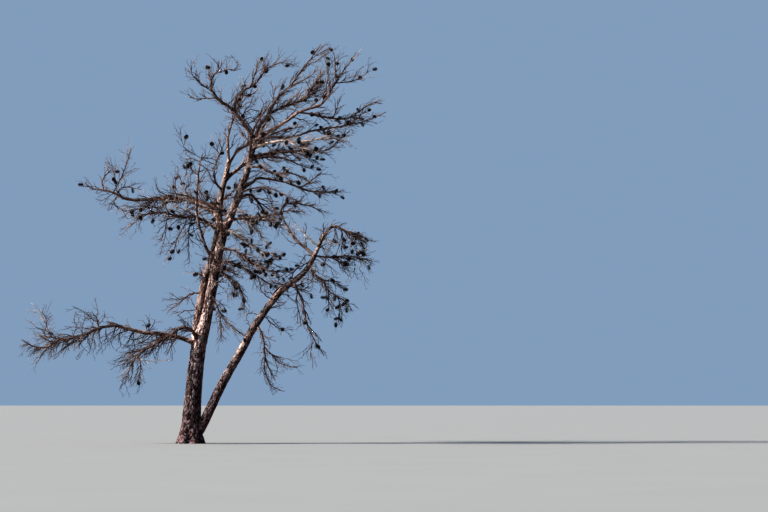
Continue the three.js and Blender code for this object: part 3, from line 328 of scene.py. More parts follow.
     [(0.45, [(0.8, -1.16, 3.4), (0.98, -1.3, 3.34)]),
      (0.6, [(0.56, -1.4, 3.6), (0.5, -1.56, 3.72)])]),
    ("top_back", "right_stem", 5.46, 0.032, 0.34, (0.1, 0.2, 0.35), 1, 4,
     [(1.1, 0.4, 5.74), (1.14, 0.76, 6), (1.2, 1.06, 6.24), (1.3, 1.34, 6.44), (1.42, 1.58, 6.68)],
     [(0.5, [(0.96, 1.14, 6.34), (0.84, 1.28, 6.54)]),
      (0.4, [(1.42, 0.9, 6.18), (1.64, 1, 6.3)])]),
    ("top_front", "right_stem", 5.64, 0.032, 0.34, (0.15, -0.2, 0.35), 2, 5,
     [(1.2, -0.38, 5.88), (1.26, -0.74, 6.1), (1.36, -1.04, 6.28), (1.5, -1.32, 6.42), (1.66, -1.54, 6.62)],
     [(0.5, [(1.12, -1.06, 6.36), (0.98, -1.22, 6.54)]),
      (0.4, [(1.56, -0.84, 6.16), (1.78, -0.9, 6.26)])]),
    ("arm_left_tip", "arm_left_limb", TIP, 0.02, 0.22, (0.2, 0, 0.2), 1, 2,
     [(1.805, -0.23, 4.625), (1.9, -0.22, 4.765), (2.12, -0.2, 4.78), (2.38, -0.18, 4.73),
      (2.62, -0.17, 4.61)],
     [(0.15, [(2.03, -0.34, 4.615), (2.19, -0.4, 4.57)]),
      (0.1, [(1.71, -0.34, 4.575), (1.655, -0.42, 4.685)])]),
    ("arm_right_tip", "arm_right_limb", TIP, 0.023, 0.3, (0.2, 0, -0.3), 4, 16,
     [(3.105, -0.42, 4.19), (3.305, -0.44, 4.085), (3.525, -0.46, 3.965)],
     [(0.15, [(3.045, -0.34, 4.035), (3.005, -0.31, 3.84)]),
      (0.5, [(3.305, -0.56, 3.92), (3.325, -0.62, 3.715)]),
      (0.3, [(3.24, -0.24, 4.165), (3.44, -0.12, 4.115)])]),
    ("arm_level", "right_arm", TIP, 0.018, 0.24, (0.2, 0, -0.25), 3, 10,
     [(2.685, -0.2, 3.705), (2.94, -0.13, 3.71), (3.18, -0.08, 3.735), (3.62, 0, 3.64)],
     [(0.4, [(2.955, 0.06, 3.645), (3.115, 0.2, 3.57)])]),
    ("arm_low", "right_arm", 3.52, 0.024, 0.22, (0.05, 0, -0.4), 4, 14,
     [(2.47, -0.42, 3.35), (2.615, -0.48, 3.23), (2.755, -0.53, 3.03), (2.915, -0.58, 2.91),
      (3.09, -0.61, 2.805), (3.23, -0.64, 2.63)],
     [(0.5, [(2.775, -0.64, 2.785), (2.76, -0.68, 2.585)]),
      (0.7, [(2.99, -0.52, 2.675), (2.95, -0.49, 2.435)]),
      (0.3, [(2.85, -0.4, 3.195), (3.065, -0.34, 3.06)])]),
    ("arm_hang_outer", "right_arm", 3.2, 0.022, 0.26, (0.05, 0, -0.45), 1, 3,
     [(2.135, -0.42, 3.035), (2.24, -0.49, 2.855), (2.27, -0.52, 2.675), (2.32, -0.55, 2.435),
      (2.42, -0.58, 2.16), (2.68, -0.63, 1.725)],
     [(0.75, [(2.425, -0.66, 1.84), (2.405, -0.69, 1.625)]),
      (0.15, [(2.125, -0.36, 2.82), (2.185, -0.33, 2.545), (2.215, -0.32, 2.325)]),
      (0.6, [(2.495, -0.48, 2.18), (2.635, -0.42, 2.005)])]),
    ("arm_hang_inner", "right_arm", 2.36, 0.022, 0.22, (0.1, 0, -0.2), 0, 0,
     [(1.42, -0.34, 2.205), (1.485, -0.39, 1.985), (1.505, -0.41, 1.77), (1.57, -0.43, 1.53),
      (1.71, -0.45, 1.255)],
     [(0.42, [(1.65, -0.49, 1.745), (1.75, -0.54, 1.625), (1.91, -0.58, 1.55), (2.15, -0.61, 1.49)]),
      (0.55, [(1.485, -0.35, 1.475), (1.54, -0.31, 1.315), (1.64, -0.29, 1.135), (1.82, -0.28, 1.04)])]),
    ("arm_back", "right_arm", 2.86, 0.028, 0.32, (0.1, 0.2, 0), 1, 4,
     [(1.66, 0.06, 2.98), (1.76, 0.38, 3.12), (1.9, 0.74, 3.2), (2.08, 1.08, 3.22), (2.28, 1.38, 3.3)],
     [(0.5, [(1.7, 0.92, 3.26), (1.6, 1.14, 3.34)]),
      (0.6, [(2.16, 0.86, 3.1), (2.38, 0.9, 3.02)])]),
)]

# Which piece each limb's bark and each mass's twigs belong to
BARK_PIECES = {
    "trunk_bark": ["trunk", "low_left_bough"],
    "left_stem_bark": ["left_stem", "left_arm", "left_spire", "left_leader", "cross_limb"],
    "right_stem_bark": ["right_stem", "top_left_limb", "top_mid_limb", "top_right_limb", "long_right_limb",
                        "right_bough"],
    "arm_bark": ["right_arm", "arm_left_limb", "arm_right_limb"],
}
TWIG_PIECES = {
    "twigs_left": ["left_arm_tip", "left_under", "spire_top", "left_back", "low_left_tip", "low_left_droop",
                   "left_stem_twigs"],
    "twigs_top": ["top_left_tip", "top_left_spray", "high_tip", "high_right", "top_right_tip",
                  "top_right_lower", "leader_tip", "leader_left"],
    "twigs_right": ["long_right_tip", "pale_right", "lower_right", "small_right", "right_bough_tip",
                    "thin_right", "leader_right", "cross_tip"],
    "twigs_middle": ["pale_mid", "mid_front", "mid_back", "pale_low", "cone_front", "cone_back",
                     "hanging_cones", "low_droop_right"],
    "twigs_around": ["back_low", "back_bough", "front_bough", "front_low", "top_back", "top_front"],
    "twigs_arm": ["arm_left_tip", "arm_right_tip", "arm_level", "arm_low", "arm_hang_outer",
                  "arm_hang_inner", "arm_back"],
}
PALE_MASSES = ("pale_right", "pale_mid", "pale_low")  # whose twigs are mostly bare and bleached

# Tones of wood, which number the materials of the twigs
GREY, PURPLE, DARK, PALE, STEM, PALE_STEM, BLEACHED = range(7)

# Small branches that show one by one, by what carries them: the tone of each, its foot's radius, how far
# back its tip lies from its foot, and its route in X and Z. Each starts at the place of its carrier that is
# nearest to the route's first.
SPRIGS = {
    "right_arm": [
        (STEM, 0.012, -0.06, [(1.6, 2.86), (1.48, 2.98), (1.38, 3.1), (1.44, 3.16), (1.58, 3.18),
                              (1.76, 3.2)]),
        (STEM, 0.014, -0.12, [(1.64, 2.8), (1.76, 2.81), (1.9, 2.8)]),
        (STEM, 0.01, -0.15, [(1.4, 2.52), (1.5, 2.5), (1.6, 2.42), (1.7, 2.32), (1.82, 2.28), (1.94, 2.27),
                             (2.04, 2.28)]),
        (STEM, 0.008, -0.1, [(1.46, 2.6), (1.64, 2.44), (1.82, 2.28), (1.92, 2.2), (2.02, 2.13)]),
        (STEM, 0.008, 0.1, [(1.76, 3.0), (1.92, 2.95), (2.02, 2.87), (2.12, 2.8)]),
        (STEM, 0.011, -0.1, [(2.04, 3.1), (2.2, 3.06), (2.3, 3.12), (2.38, 3.2), (2.44, 3.3)]),
        (STEM, 0.01, -0.1, [(2.4, 3.74), (2.3, 3.76), (2.22, 3.66), (2.17, 3.56), (2.18, 3.44)]),
        (STEM, 0.011, -0.12, [(2.4, 3.64), (2.22, 3.54), (2.04, 3.43), (1.88, 3.4), (1.8, 3.32), (1.7, 3.3),
                              (1.58, 3.28)]),
        (STEM, 0.008, 0.08, [(1.24, 2.24), (1.16, 2.36), (1.12, 2.52), (1.18, 2.6), (1.34, 2.56)]),
        (STEM, 0.007, -0.08, [(1.34, 2.3), (1.44, 2.18), (1.56, 2.04), (1.6, 1.9)]),
        (STEM, 0.011, -0.05, [(2.0, 3.24), (2.02, 3.36), (2.1, 3.46), (2.2, 3.5), (2.3, 3.6)]),
        (PALE_STEM, 0.009, -0.06, [(2.38, 3.5), (2.46, 3.6), (2.5, 3.5), (2.46, 3.36), (2.36, 3.3)]),
        (PALE_STEM, 0.009, -0.12, [(2.2, 3.3), (2.36, 3.26), (2.5, 3.22), (2.6, 3.3), (2.66, 3.42)]),
        (STEM, 0.009, -0.1, [(2.48, 3.72), (2.62, 3.68), (2.7, 3.58), (2.79, 3.5), (2.84, 3.33)]),
        (PALE, 0.008, -0.12, [(2.46, 3.66), (2.58, 3.62), (2.64, 3.54), (2.72, 3.42)]),
        (PALE, 0.009, -0.12, [(2.36, 3.5), (2.36, 3.43), (2.42, 3.38), (2.49, 3.44), (2.46, 3.53),
                              (2.38, 3.53)]),
        (BLEACHED, 0.01, -0.14, [(2.42, 3.46), (2.5, 3.38), (2.58, 3.27), (2.66, 3.17), (2.73, 3.07)]),
        (PALE, 0.007, -0.1, [(2.5, 3.42), (2.62, 3.36), (2.7, 3.36), (2.8, 3.28)]),
    ],
    "arm_right_limb": [
        (BLEACHED, 0.027, -0.04, [(2.5, 3.92), (2.43, 4.02), (2.33, 4.13), (2.2, 4.26), (2.06, 4.39)]),
        (PALE_STEM, 0.01, -0.1, [(2.62, 4.1), (2.72, 4.0), (2.86, 3.98), (2.98, 4.04)]),
        (STEM, 0.009, 0.06, [(2.56, 3.98), (2.66, 3.86), (2.7, 3.7), (2.66, 3.56)]),
        (STEM, 0.008, -0.06, [(2.88, 4.26), (2.87, 4.15), (2.82, 4.02), (2.75, 3.88), (2.73, 3.76)]),
        (PALE, 0.008, -0.1, [(2.62, 4.07), (2.7, 4.08), (2.8, 4.06), (2.9, 4.02)]),
        (PURPLE, 0.008, -0.1, [(2.9, 4.28), (2.92, 4.1), (2.94, 4.0), (3.0, 3.88)]),
        (PALE, 0.007, -0.08, [(2.6, 4.0), (2.68, 3.92), (2.72, 3.82), (2.66, 3.76)]),
    ],
    "arm_hang_inner": [
        (STEM, 0.009, -0.15, [(1.47, 1.9), (1.62, 1.76), (1.86, 1.69), (2.1, 1.64)]),
        (STEM, 0.009, 0.1, [(1.46, 1.84), (1.48, 1.66), (1.48, 1.48), (1.52, 1.3), (1.58, 1.16)]),
    ],
    "low_left_bough": [
        (STEM, 0.03, -0.03, [(-1.46, 2.34), (-1.58, 2.39), (-1.7, 2.43)]),
        (STEM, 0.011, -0.08, [(-0.84, 2.22), (-0.83, 2.36), (-0.84, 2.5)]),
        (STEM, 0.009, -0.04, [(-0.84, 2.22), (-0.92, 2.38), (-0.98, 2.46)]),
        (STEM, 0.009, -0.08, [(-0.84, 2.22), (-0.76, 2.36), (-0.72, 2.48)]),
        (STEM, 0.009, 0.05, [(-0.4, 2.14), (-0.38, 1.96), (-0.4, 1.8), (-0.36, 1.66)]),
        (STEM, 0.009, -0.06, [(-0.66, 2.2), (-0.68, 2.04), (-0.64, 1.88), (-0.7, 1.74)]),
        (STEM, 0.009, 0.08, [(-1.1, 2.24), (-1.16, 2.08), (-1.12, 1.92), (-1.2, 1.78)]),
        (STEM, 0.009, -0.06, [(-1.36, 2.3), (-1.44, 2.12), (-1.4, 1.96), (-1.5, 1.84)]),
        (STEM, 0.008, 0.04, [(-1.46, 2.34), (-1.54, 2.2), (-1.6, 2.04), (-1.56, 1.9)]),
    ],
    "low_left_tip": [
        (STEM, 0.008, 0.05, [(-2.32, 2.12), (-2.3, 2.32), (-2.34, 2.48), (-2.3, 2.64)]),
        (STEM, 0.008, -0.05, [(-2.14, 2.17), (-2.16, 2.36), (-2.12, 2.52), (-2.16, 2.64)]),
        (STEM, 0.008, 0.05, [(-1.92, 2.27), (-1.96, 2.42), (-1.9, 2.54)]),
        (STEM, 0.008, 0, [(-2.4, 2.1), (-2.46, 1.98), (-2.44, 1.84)]),
        (STEM, 0.007, 0.04, [(-1.66, 2.32), (-1.7, 2.16), (-1.66, 2.0), (-1.72, 1.86)]),
        (STEM, 0.007, -0.04, [(-1.9, 2.24), (-1.96, 2.1), (-1.9, 1.96), (-1.96, 1.8)]),
        (STEM, 0.007, -0.06, [(-2.16, 2.14), (-2.2, 2.0), (-2.14, 1.86), (-2.22, 1.72)]),
        (STEM, 0.008, -0.08, [(-1.8, 2.3), (-1.84, 2.12), (-1.78, 1.96), (-1.86, 1.8)]),
        (STEM, 0.008, 0.08, [(-2.0, 2.22), (-2.06, 2.04), (-2.0, 1.9), (-2.08, 1.74)]),
    ],
    "low_left_droop": [
        (STEM, 0.011, 0.1, [(-0.44, 2.16), (-0.58, 1.98), (-0.82, 1.82), (-1.02, 1.7)]),
        (STEM, 0.009, 0.15, [(-0.7, 2.02), (-0.76, 1.84), (-0.72, 1.68)]),
    ],
    "left_stem": [
        (STEM, 0.01, -0.12, [(0.14, 2.66), (-0.08, 2.65), (-0.24, 2.61), (-0.36, 2.64)]),
        (STEM, 0.008, -0.1, [(0.14, 2.6), (0, 2.53), (-0.16, 2.46)]),
        (STEM, 0.02, -0.08, [(0.28, 3.32), (0.14, 3.38), (0.03, 3.36)]),
        (STEM, 0.012, -0.12, [(0.47, 4.5), (0.2, 4.3), (0.08, 4.26), (-0.04, 4.12), (-0.08, 3.98)]),
        (STEM, 0.01, -0.1, [(0.5, 4.62), (0.16, 4.58), (-0.16, 4.56), (-0.32, 4.54), (-0.52, 4.55)]),
        (BLEACHED, 0.013, -0.2, [(0.5, 4.35), (0.44, 4.36), (0.34, 4.38), (0.24, 4.35)]),
    ],
    "left_under": [
        (STEM, 0.009, -0.04, [(0.06, 4.52), (0.04, 4.32), (0.12, 4.08), (0.2, 3.98)]),
    ],
    "left_arm": [
        (STEM, 0.014, -0.06, [(-0.3, 4.9), (-0.5, 4.96), (-0.62, 5.0), (-0.7, 5.08), (-0.73, 5.2),
                              (-0.72, 5.34)]),
        (STEM, 0.011, -0.1, [(-0.26, 4.88), (-0.33, 5.02), (-0.34, 5.14), (-0.31, 5.3), (-0.28, 5.44),
                             (-0.3, 5.56)]),
        (PALE_STEM, 0.02, -0.12, [(-0.12, 4.9), (-0.1, 4.76), (-0.12, 4.65), (-0.2, 4.58), (-0.3, 4.56)]),
        (BLEACHED, 0.016, -0.1, [(-0.3, 4.9), (-0.4, 4.85), (-0.5, 4.87), (-0.56, 4.84)]),
        (BLEACHED, 0.02, -0.1, [(0.02, 4.82), (-0.08, 4.85), (-0.18, 4.91), (-0.26, 4.94)]),
        (PALE, 0.013, -0.12, [(-0.44, 4.9), (-0.58, 4.85), (-0.62, 4.77), (-0.54, 4.72), (-0.47, 4.78)]),
        (PALE, 0.013, -0.12, [(-0.2, 4.9), (-0.18, 4.98), (-0.23, 5.03), (-0.28, 4.97), (-0.25, 4.88)]),
        (PALE, 0.012, -0.14, [(-0.22, 4.88), (-0.3, 4.8), (-0.28, 4.7), (-0.2, 4.66), (-0.14, 4.72)]),
        (PALE_STEM, 0.01, -0.1, [(-0.42, 4.9), (-0.36, 4.78), (-0.42, 4.66), (-0.54, 4.6), (-0.66, 4.64)]),
        (PURPLE, 0.01, 0.06, [(-0.56, 4.9), (-0.6, 4.76), (-0.7, 4.68), (-0.66, 4.56), (-0.76, 4.5)]),
        (PURPLE, 0.01, -0.16, [(-0.68, 4.9), (-0.76, 4.78), (-0.84, 4.7), (-0.8, 4.6), (-0.88, 4.52)]),
        (STEM, 0.009, 0.08, [(-0.3, 4.88), (-0.38, 5.04), (-0.46, 5.1)]),
        (STEM, 0.013, -0.1, [(-0.76, 4.88), (-0.9, 4.74), (-1.02, 4.64), (-1.08, 4.54), (-1.08, 4.42)]),
        (STEM, 0.01, -0.1, [(-0.5, 4.88), (-0.58, 4.74), (-0.72, 4.66), (-0.86, 4.62)]),
    ],
    "left_spire": [
        (STEM, 0.01, -0.04, [(0.13, 5.16), (0.22, 5.36), (0.28, 5.45), (0.34, 5.49)]),
        (STEM, 0.01, 0.04, [(0.12, 5.1), (0.22, 4.96), (0.28, 4.84)]),
        (STEM, 0.01, 0, [(0.14, 4.46), (0.3, 4.39), (0.46, 4.36), (0.56, 4.39), (0.68, 4.49),
                         (0.82, 4.58)]),
        (STEM, 0.009, -0.04, [(0.14, 4.56), (0.3, 4.66), (0.42, 4.6), (0.58, 4.66)]),
    ],
    "spire_top": [
        (STEM, 0.01, 0, [(0.18, 5.56), (0.32, 5.48), (0.46, 5.43)]),
        (STEM, 0.009, 0.03, [(0.2, 5.66), (0.36, 5.63), (0.52, 5.58)]),
        (STEM, 0.012, -0.02, [(0.21, 5.66), (0.26, 5.76), (0.26, 5.88)]),
    ],
    "right_stem": [
        (PALE, 0.014, -0.16, [(0.82, 4.6), (0.78, 4.54), (0.66, 4.47), (0.54, 4.37)]),
        (PALE, 0.012, -0.14, [(0.62, 4.12), (0.56, 4.06), (0.62, 3.97), (0.68, 3.88)]),
        (PALE, 0.01, -0.14, [(0.6, 4.02), (0.5, 4.0), (0.58, 3.92), (0.64, 3.86)]),
        (STEM, 0.009, -0.3, [(0.7, 4.36), (0.72, 4.3), (0.8, 4.24), (0.94, 4.18)]),
        (STEM, 0.009, -0.25, [(0.6, 4.0), (0.6, 3.96), (0.66, 3.88), (0.72, 3.8)]),
        (STEM, 0.014, -0.12, [(1.2, 5.78), (1.32, 5.76), (1.48, 5.62), (1.6, 5.5)]),
        (STEM, 0.01, -0.2, [(1.06, 5.4), (1.24, 5.46), (1.44, 5.42), (1.58, 5.3)]),
        (STEM, 0.01, -0.16, [(1.0, 5.16), (1.2, 5.24), (1.38, 5.22), (1.54, 5.06)]),
        (PURPLE, 0.009, -0.14, [(0.52, 3.6), (0.66, 3.5), (0.8, 3.42), (0.92, 3.3)]),
        (STEM, 0.009, -0.12, [(0.5, 3.5), (0.62, 3.36), (0.74, 3.3), (0.84, 3.16)]),
        (PALE, 0.008, -0.1, [(0.45, 3.2), (0.58, 3.14), (0.7, 3.0), (0.76, 2.86)]),
    ],
    "top_left_limb": [
        (STEM, 0.012, -0.08, [(1.0, 6.54), (1.1, 6.72), (1.18, 6.84), (1.19, 6.98)]),
        (STEM, 0.011, -0.1, [(1.0, 6.56), (1.08, 6.44), (1.16, 6.34), (1.2, 6.26)]),
        (STEM, 0.012, -0.12, [(1.0, 6.56), (1.18, 6.7), (1.34, 6.66), (1.5, 6.72)]),
        (STEM, 0.011, -0.06, [(1.04, 6.5), (1.2, 6.53), (1.34, 6.46), (1.44, 6.52)]),
        (STEM, 0.012, 0.1, [(1.08, 6.4), (1.22, 6.46), (1.34, 6.56), (1.44, 6.63), (1.52, 6.76)]),
        (STEM, 0.009, -0.1, [(0.94, 6.6), (0.86, 6.56), (0.78, 6.44), (0.72, 6.42)]),
        (STEM, 0.012, -0.08, [(0.86, 6.66), (0.98, 6.78), (1.06, 6.94), (1.18, 7.02)]),
        (PALE, 0.01, 0.08, [(0.92, 6.62), (1.06, 6.8), (1.24, 6.86), (1.34, 6.98)]),
    ],
    "top_mid_limb": [
        (STEM, 0.016, -0.24, [(1.58, 6.6), (1.63, 6.5), (1.66, 6.38), (1.67, 6.28)]),
        (STEM, 0.012, -0.1, [(1.4, 6.4), (1.36, 6.58), (1.42, 6.76), (1.56, 6.9)]),
        (STEM, 0.012, -0.08, [(1.5, 6.6), (1.56, 6.76), (1.7, 6.84), (1.76, 6.98)]),
        (PALE, 0.01, 0.06, [(1.46, 6.52), (1.62, 6.64), (1.8, 6.66), (1.96, 6.78)]),
        (PURPLE, 0.01, -0.1, [(1.53, 6.63), (1.7, 6.72), (1.84, 6.86), (1.98, 6.9)]),
    ],
    "top_right_limb": [
        (STEM, 0.012, -0.1, [(1.86, 6.42), (1.94, 6.56), (2.06, 6.66), (2.12, 6.8)]),
        (STEM, 0.011, 0.1, [(2.0, 6.52), (2.2, 6.5), (2.36, 6.42), (2.5, 6.44)]),
    ],
    "high_right": [
        (BLEACHED, 0.017, -0.03, [(1.76, 6.72), (1.84, 6.745), (1.92, 6.745), (2.0, 6.71), (2.14, 6.665)]),
        (STEM, 0.012, 0, [(2.3, 6.92), (2.36, 7.06), (2.32, 7.22), (2.4, 7.36)]),
        (STEM, 0.012, 0.06, [(2.38, 7.0), (2.5, 7.08), (2.52, 7.26), (2.62, 7.34)]),
        (STEM, 0.011, -0.06, [(2.42, 7.08), (2.5, 6.96), (2.66, 6.98), (2.74, 7.1)]),
        (PALE, 0.01, 0.05, [(1.9, 6.78), (1.98, 6.9), (2.1, 7.0), (2.14, 7.12)]),
        (PALE, 0.01, -0.05, [(2.0, 6.82), (2.1, 6.74), (2.24, 6.78), (2.34, 6.86)]),
    ],
    "lower_right": [
        (BLEACHED, 0.016, -0.02, [(2.36, 5.82), (2.5, 5.83), (2.66, 5.845)]),
        (PALE_STEM, 0.034, -0.04, [(1.3, 5.77), (1.37, 5.81), (1.44, 5.78)]),
        (PALE_STEM, 0.03, -0.1, [(1.54, 5.77), (1.6, 5.71), (1.68, 5.65), (1.78, 5.62)]),
    ],
    "arm_level": [
        (PALE, 0.007, 0.06, [(3.06, 3.72), (3.14, 3.6), (3.12, 3.48), (3.2, 3.34), (3.18, 3.2)]),
        (PURPLE, 0.007, -0.06, [(3.2, 3.72), (3.28, 3.56), (3.26, 3.42), (3.34, 3.28)]),
        (PALE, 0.007, 0.04, [(3.3, 3.7), (3.4, 3.58), (3.38, 3.44), (3.48, 3.3), (3.46, 3.16)]),
        (STEM, 0.007, -0.08, [(2.9, 3.7), (2.98, 3.6), (3.08, 3.54)]),
    ],
    "arm_right_tip": [
        (PALE, 0.008, -0.06, [(3.12, 4.18), (3.22, 4.24), (3.34, 4.18), (3.44, 4.1)]),
        (PURPLE, 0.008, 0.06, [(3.2, 4.14), (3.22, 4.0), (3.18, 3.88), (3.24, 3.8)]),
    ],
    "left_arm_tip": [
        (STEM, 0.008, -0.05, [(-1.62, 5.05), (-1.7, 4.92), (-1.8, 4.86), (-1.94, 4.9)]),
        (PALE, 0.007, 0.04, [(-1.5, 4.98), (-1.56, 4.86), (-1.68, 4.78), (-1.8, 4.78)]),
    ],
    "top_left_tip": [
        (STEM, 0.011, -0.06, [(0.7, 6.77), (0.82, 6.9), (0.9, 7.02), (0.88, 7.14)]),
    ],
}

# How much fuller than others a mass or limb is with twigs
FULLNESS = {
    "left_under": 1.6, "low_left_tip": 1.9, "low_left_droop": 1.6, "top_left_spray": 1.15, "high_right": 2.7,
    "top_right_tip": 0.95, "high_tip": 0.7, "left_arm_tip": 0.75, "top_right_lower": 1.2, "lower_right": 1.25,
    "pale_right": 0.9, "small_right": 1.1, "mid_front": 1.9, "cone_front": 1.7, "pale_mid": 1.5,
    "pale_low": 2.3, "leader_right": 0.9, "thin_right": 0.6, "arm_low": 1.8, "arm_level": 1.9,
    "arm_left_tip": 2.0, "arm_right_tip": 1.3, "arm_hang_outer": 0.6, "back_low": 0.8, "back_bough": 0.6,
    "front_bough": 0.52, "front_low": 0.8, "top_back": 0.5, "top_front": 0.42, "long_right_tip": 0.75,
    "left_back": 0.5, "mid_back": 0.5, "cone_back": 1.0, "low_droop_right": 1.4, "hanging_cones": 2.3,
    "arm_back": 0.8,
    "trunk": 0, "right_arm": 0.6, "left_stem": 0.5, "right_stem": 1.35, "left_arm": 2.6,
    "low_left_bough": 2.3, "top_left_limb": 1.9, "top_mid_limb": 2.8, "top_right_limb": 1.5,
    "long_right_limb": 0.9, "right_bough": 0.9, "cross_limb": 1.5, "arm_left_limb": 1.3,
    "arm_right_limb": 2.1, "leader_left": 1.3, "left_leader": 1.3,
}
FORK_FULLNESS = {"left_under": 0.36}  # of the mass's own, on its forks
SPRAY_LENGTH = {  # how much longer than others the side twigs of a mass or limb are
    "low_left_tip": 1.5, "low_left_bough": 1.6, "low_left_droop": 1.25, "left_arm": 1.4, "left_under": 1.2,
    "arm_right_tip": 1.2, "arm_level": 1.2, "top_mid_limb": 1.3, "top_left_limb": 1.2, "right_stem": 1.2,
}
LIMB_LEANS = {  # the way that the fine twigs on a limb or mass lean, where it isn't the mass's own
    "low_left_bough": (-0.1, 0, -0.6), "left_arm": (-0.1, 0, -0.4), "right_arm": (0.2, 0, -0.2),
    "left_stem": (0, 0, 0), "right_stem": (0.15, 0, -0.05), "left_spire": (0, 0, 0.15),
    "low_left_tip": (-0.15, 0, -0.5), "left_under": (-0.2, 0, -0.05), "top_mid_limb": (0.3, 0, 0.1),
    "top_right_limb": (0.3, 0, 0.15), "top_left_limb": (0.15, 0, 0.2),
}


def chance(*keys):
    """A number from 0 to 1 that depends only on the whole numbers given, or an array of them."""
    h = np.asarray(0x9E3779B9, dtype=np.uint32)
    with np.errstate(over="ignore"):
        for key in keys:
            h = (h ^ np.asarray(key).astype(np.int64).astype(np.uint32)) * np.uint32(0x85EBCA6B)
            h = (h ^ (h >> np.uint32(13))) * np.uint32(0xC2B2AE35)
            h = h ^ (h >> np.uint32(16))
    return h / 2.0**32


def between(span, share):
    return span[0] + (span[1] - span[0]) * share


def unit(v):
    return v / np.maximum(np.linalg.norm(v, axis=-1, keepdims=True), 1e-12)


def smoothstep(low, high, x):
    t = np.clip((x - low) / (high - low), 0, 1)
    return t * t * (3 - 2 * t)


def side_ways(heading):
    """A level way square to a heading, or to each of several, and the way square to both."""
    level = np.cross(heading, (0, 0, 1))
    upright = np.linalg.norm(level, axis=-1, keepdims=True) < UPRIGHT
    level = unit(np.where(upright, (1, 0, 0), level))
    return level, np.cross(level, heading)


def to_pieces(places, a, b):
    """How far along each straight piece from a to b each place lies, from 0 to 1, and how far off it."""
    along = b - a
    t = np.einsum("nmj,mj->nm", places[:, None] - a, along) / np.einsum("mj,mj->m", along, along)
    t = np.clip(t, 0, 1)
    return t, np.linalg.norm(places[:, None] - a - t[..., None] * along, axis=2)


def spans_of(count):
    """Slices of a long array, so that what is worked out for each part of it stays small."""
    return [slice(start, start + CHUNK) for start in range(0, count, CHUNK)]


# The limbs' and stems' centre lines

class Path:
    """The centre line of a limb, stem or fork, as straight steps between its rings, and its radius."""

    def __init__(self, places, foot, tip, spacing):
        self.places = np.array(places, float)
        fine = self.curve(np.linspace(0, 1, CURVE_STEPS + 1))
        steps = np.linalg.norm(np.diff(fine, axis=0), axis=1)
        self.travel = np.concatenate([[0], np.cumsum(steps)])
        self.length = self.travel[-1]
        self.rings = max(2, math.floor(self.length / spacing + 0.5))
        self.centres = self.smooth(np.linspace(0, 1, self.rings + 1))
        self.foot = foot
        self.tip = tip

    def curve(self, t):
        """Places on the smooth curve through the route, for shares t of the route's steps."""
        p = self.places
        spans = len(p) - 1
        ends = np.vstack([2 * p[0] - p[1], p, 2 * p[-1] - p[-2]])
        i = np.minimum((t * spans).astype(int), spans - 1)
        w = (t * spans - i)[:, None]
        before, start, end, after = (ends[i + k] for k in range(4))
        leave = (end - before) / 2
        arrive = (after - start) / 2
        square = 3 * (end - start) - 2 * leave - arrive
        cube = 2 * (start - end) + leave + arrive
        return start + leave * w + square * w**2 + cube * w**3

    def smooth(self, share):
        """Places on the smooth curve, for shares of its length."""
        t = np.interp(share * self.length, self.travel, np.linspace(0, 1, CURVE_STEPS + 1))
        return self.curve(t)

    def step(self, share):
        return min(self.rings - 1, math.floor(share * self.rings))

    def at(self, share):
        i = self.step(share)
        w = share * self.rings - i
        return self.centres[i] * (1 - w) + self.centres[i + 1] * w

    def heading(self, share):
        i = self.step(share)
        return unit(self.centres[i + 1] - self.centres[i])

    def radius(self, share):
        return self.foot + (self.tip - self.foot) * share**TAPER

    def at_height(self, height):
        """Where the centre line passes a height. It is only asked of limbs that rise all the way."""
        i = next(n for n, c in enumerate(self.centres) if n > 0 and c[2] >= height) - 1
        low, high = self.centres[i], self.centres[i + 1]
        return low + (high - low) * (height - low[2]) / (high[2] - low[2])


class Wood:
    """Every straight piece of wood that stands so far, with the node that owns it."""

    def __init__(self, room=6000):
        self.a = np.zeros((room, 3))
        self.b = np.zeros((room, 3))
        self.radius = np.zeros(room)
        self.owner = np.zeros(room, int)
        self.count = 0

    def add(self, owner, a, b, radius):
        n = self.count
        self.a[n], self.b[n], self.radius[n], self.owner[n] = a, b, radius, owner
        self.count += 1

    def add_path(self, owner, path):
        for i in range(path.rings):
            self.add(owner, path.centres[i], path.centres[i + 1], path.radius(i / path.rings))

    def distance(self, a, b):
        """Shortest distance from each piece's centre line to the straight line from a to b."""
        n = self.count
        d1 = self.b[:n] - self.a[:n]
        d2 = b - a
        r = self.a[:n] - a
        aa = np.einsum("ij,ij->i", d1, d1)
        ee = d2 @ d2
        f = r @ d2
        c = np.einsum("ij,ij->i", d1, r)
        cross = d1 @ d2
        spread = aa * ee - cross * cross
        slanted = spread > 1e-18
        s = np.where(slanted, np.clip((cross * f - c * ee) / np.where(slanted, spread, 1), 0, 1), 0)
        t = (cross * s + f) / ee
        outside = (t < 0) | (t > 1)
        t = np.clip(t, 0, 1)
        s = np.where(outside, np.clip((cross * t - c) / aa, 0, 1), s)
        return np.linalg.norm(self.a[:n] + d1 * s[:, None] - a - d2 * t[:, None], axis=1)

    def fits(self, owner, a, b, radius):
        """True if a new piece keeps to the crown and touches nothing that another node owns."""
        if np.any(b < CROWN_LOW) or np.any(b > CROWN_HIGH):
            return False
        n = self.count
        room = self.distance(a, b) - self.radius[:n] - radius - TWIG_CLEARANCE
        return bool(np.all(room[self.owner[:n] != owner] > 0))


wood = Wood()
limb_paths = {}


def start_of(row):
    parent = limb_paths[row["parent"]]
    return parent.centres[-1] if row["height"] is TIP else parent.at_height(row["height"])


def grow_limb(number, limb):
    is_trunk = limb["parent"] is None
    start = np.array([0, 0, -BELOW_CUT]) if is_trunk else start_of(limb)
    spacing = TRUNK_RING_SPACING if is_trunk else LIMB_RING_SPACING
    path = Path([start, *limb["route"]], limb["foot"], limb["tip"], spacing)
    limb_paths[limb["name"]] = path
    wood.add_path(number, path)


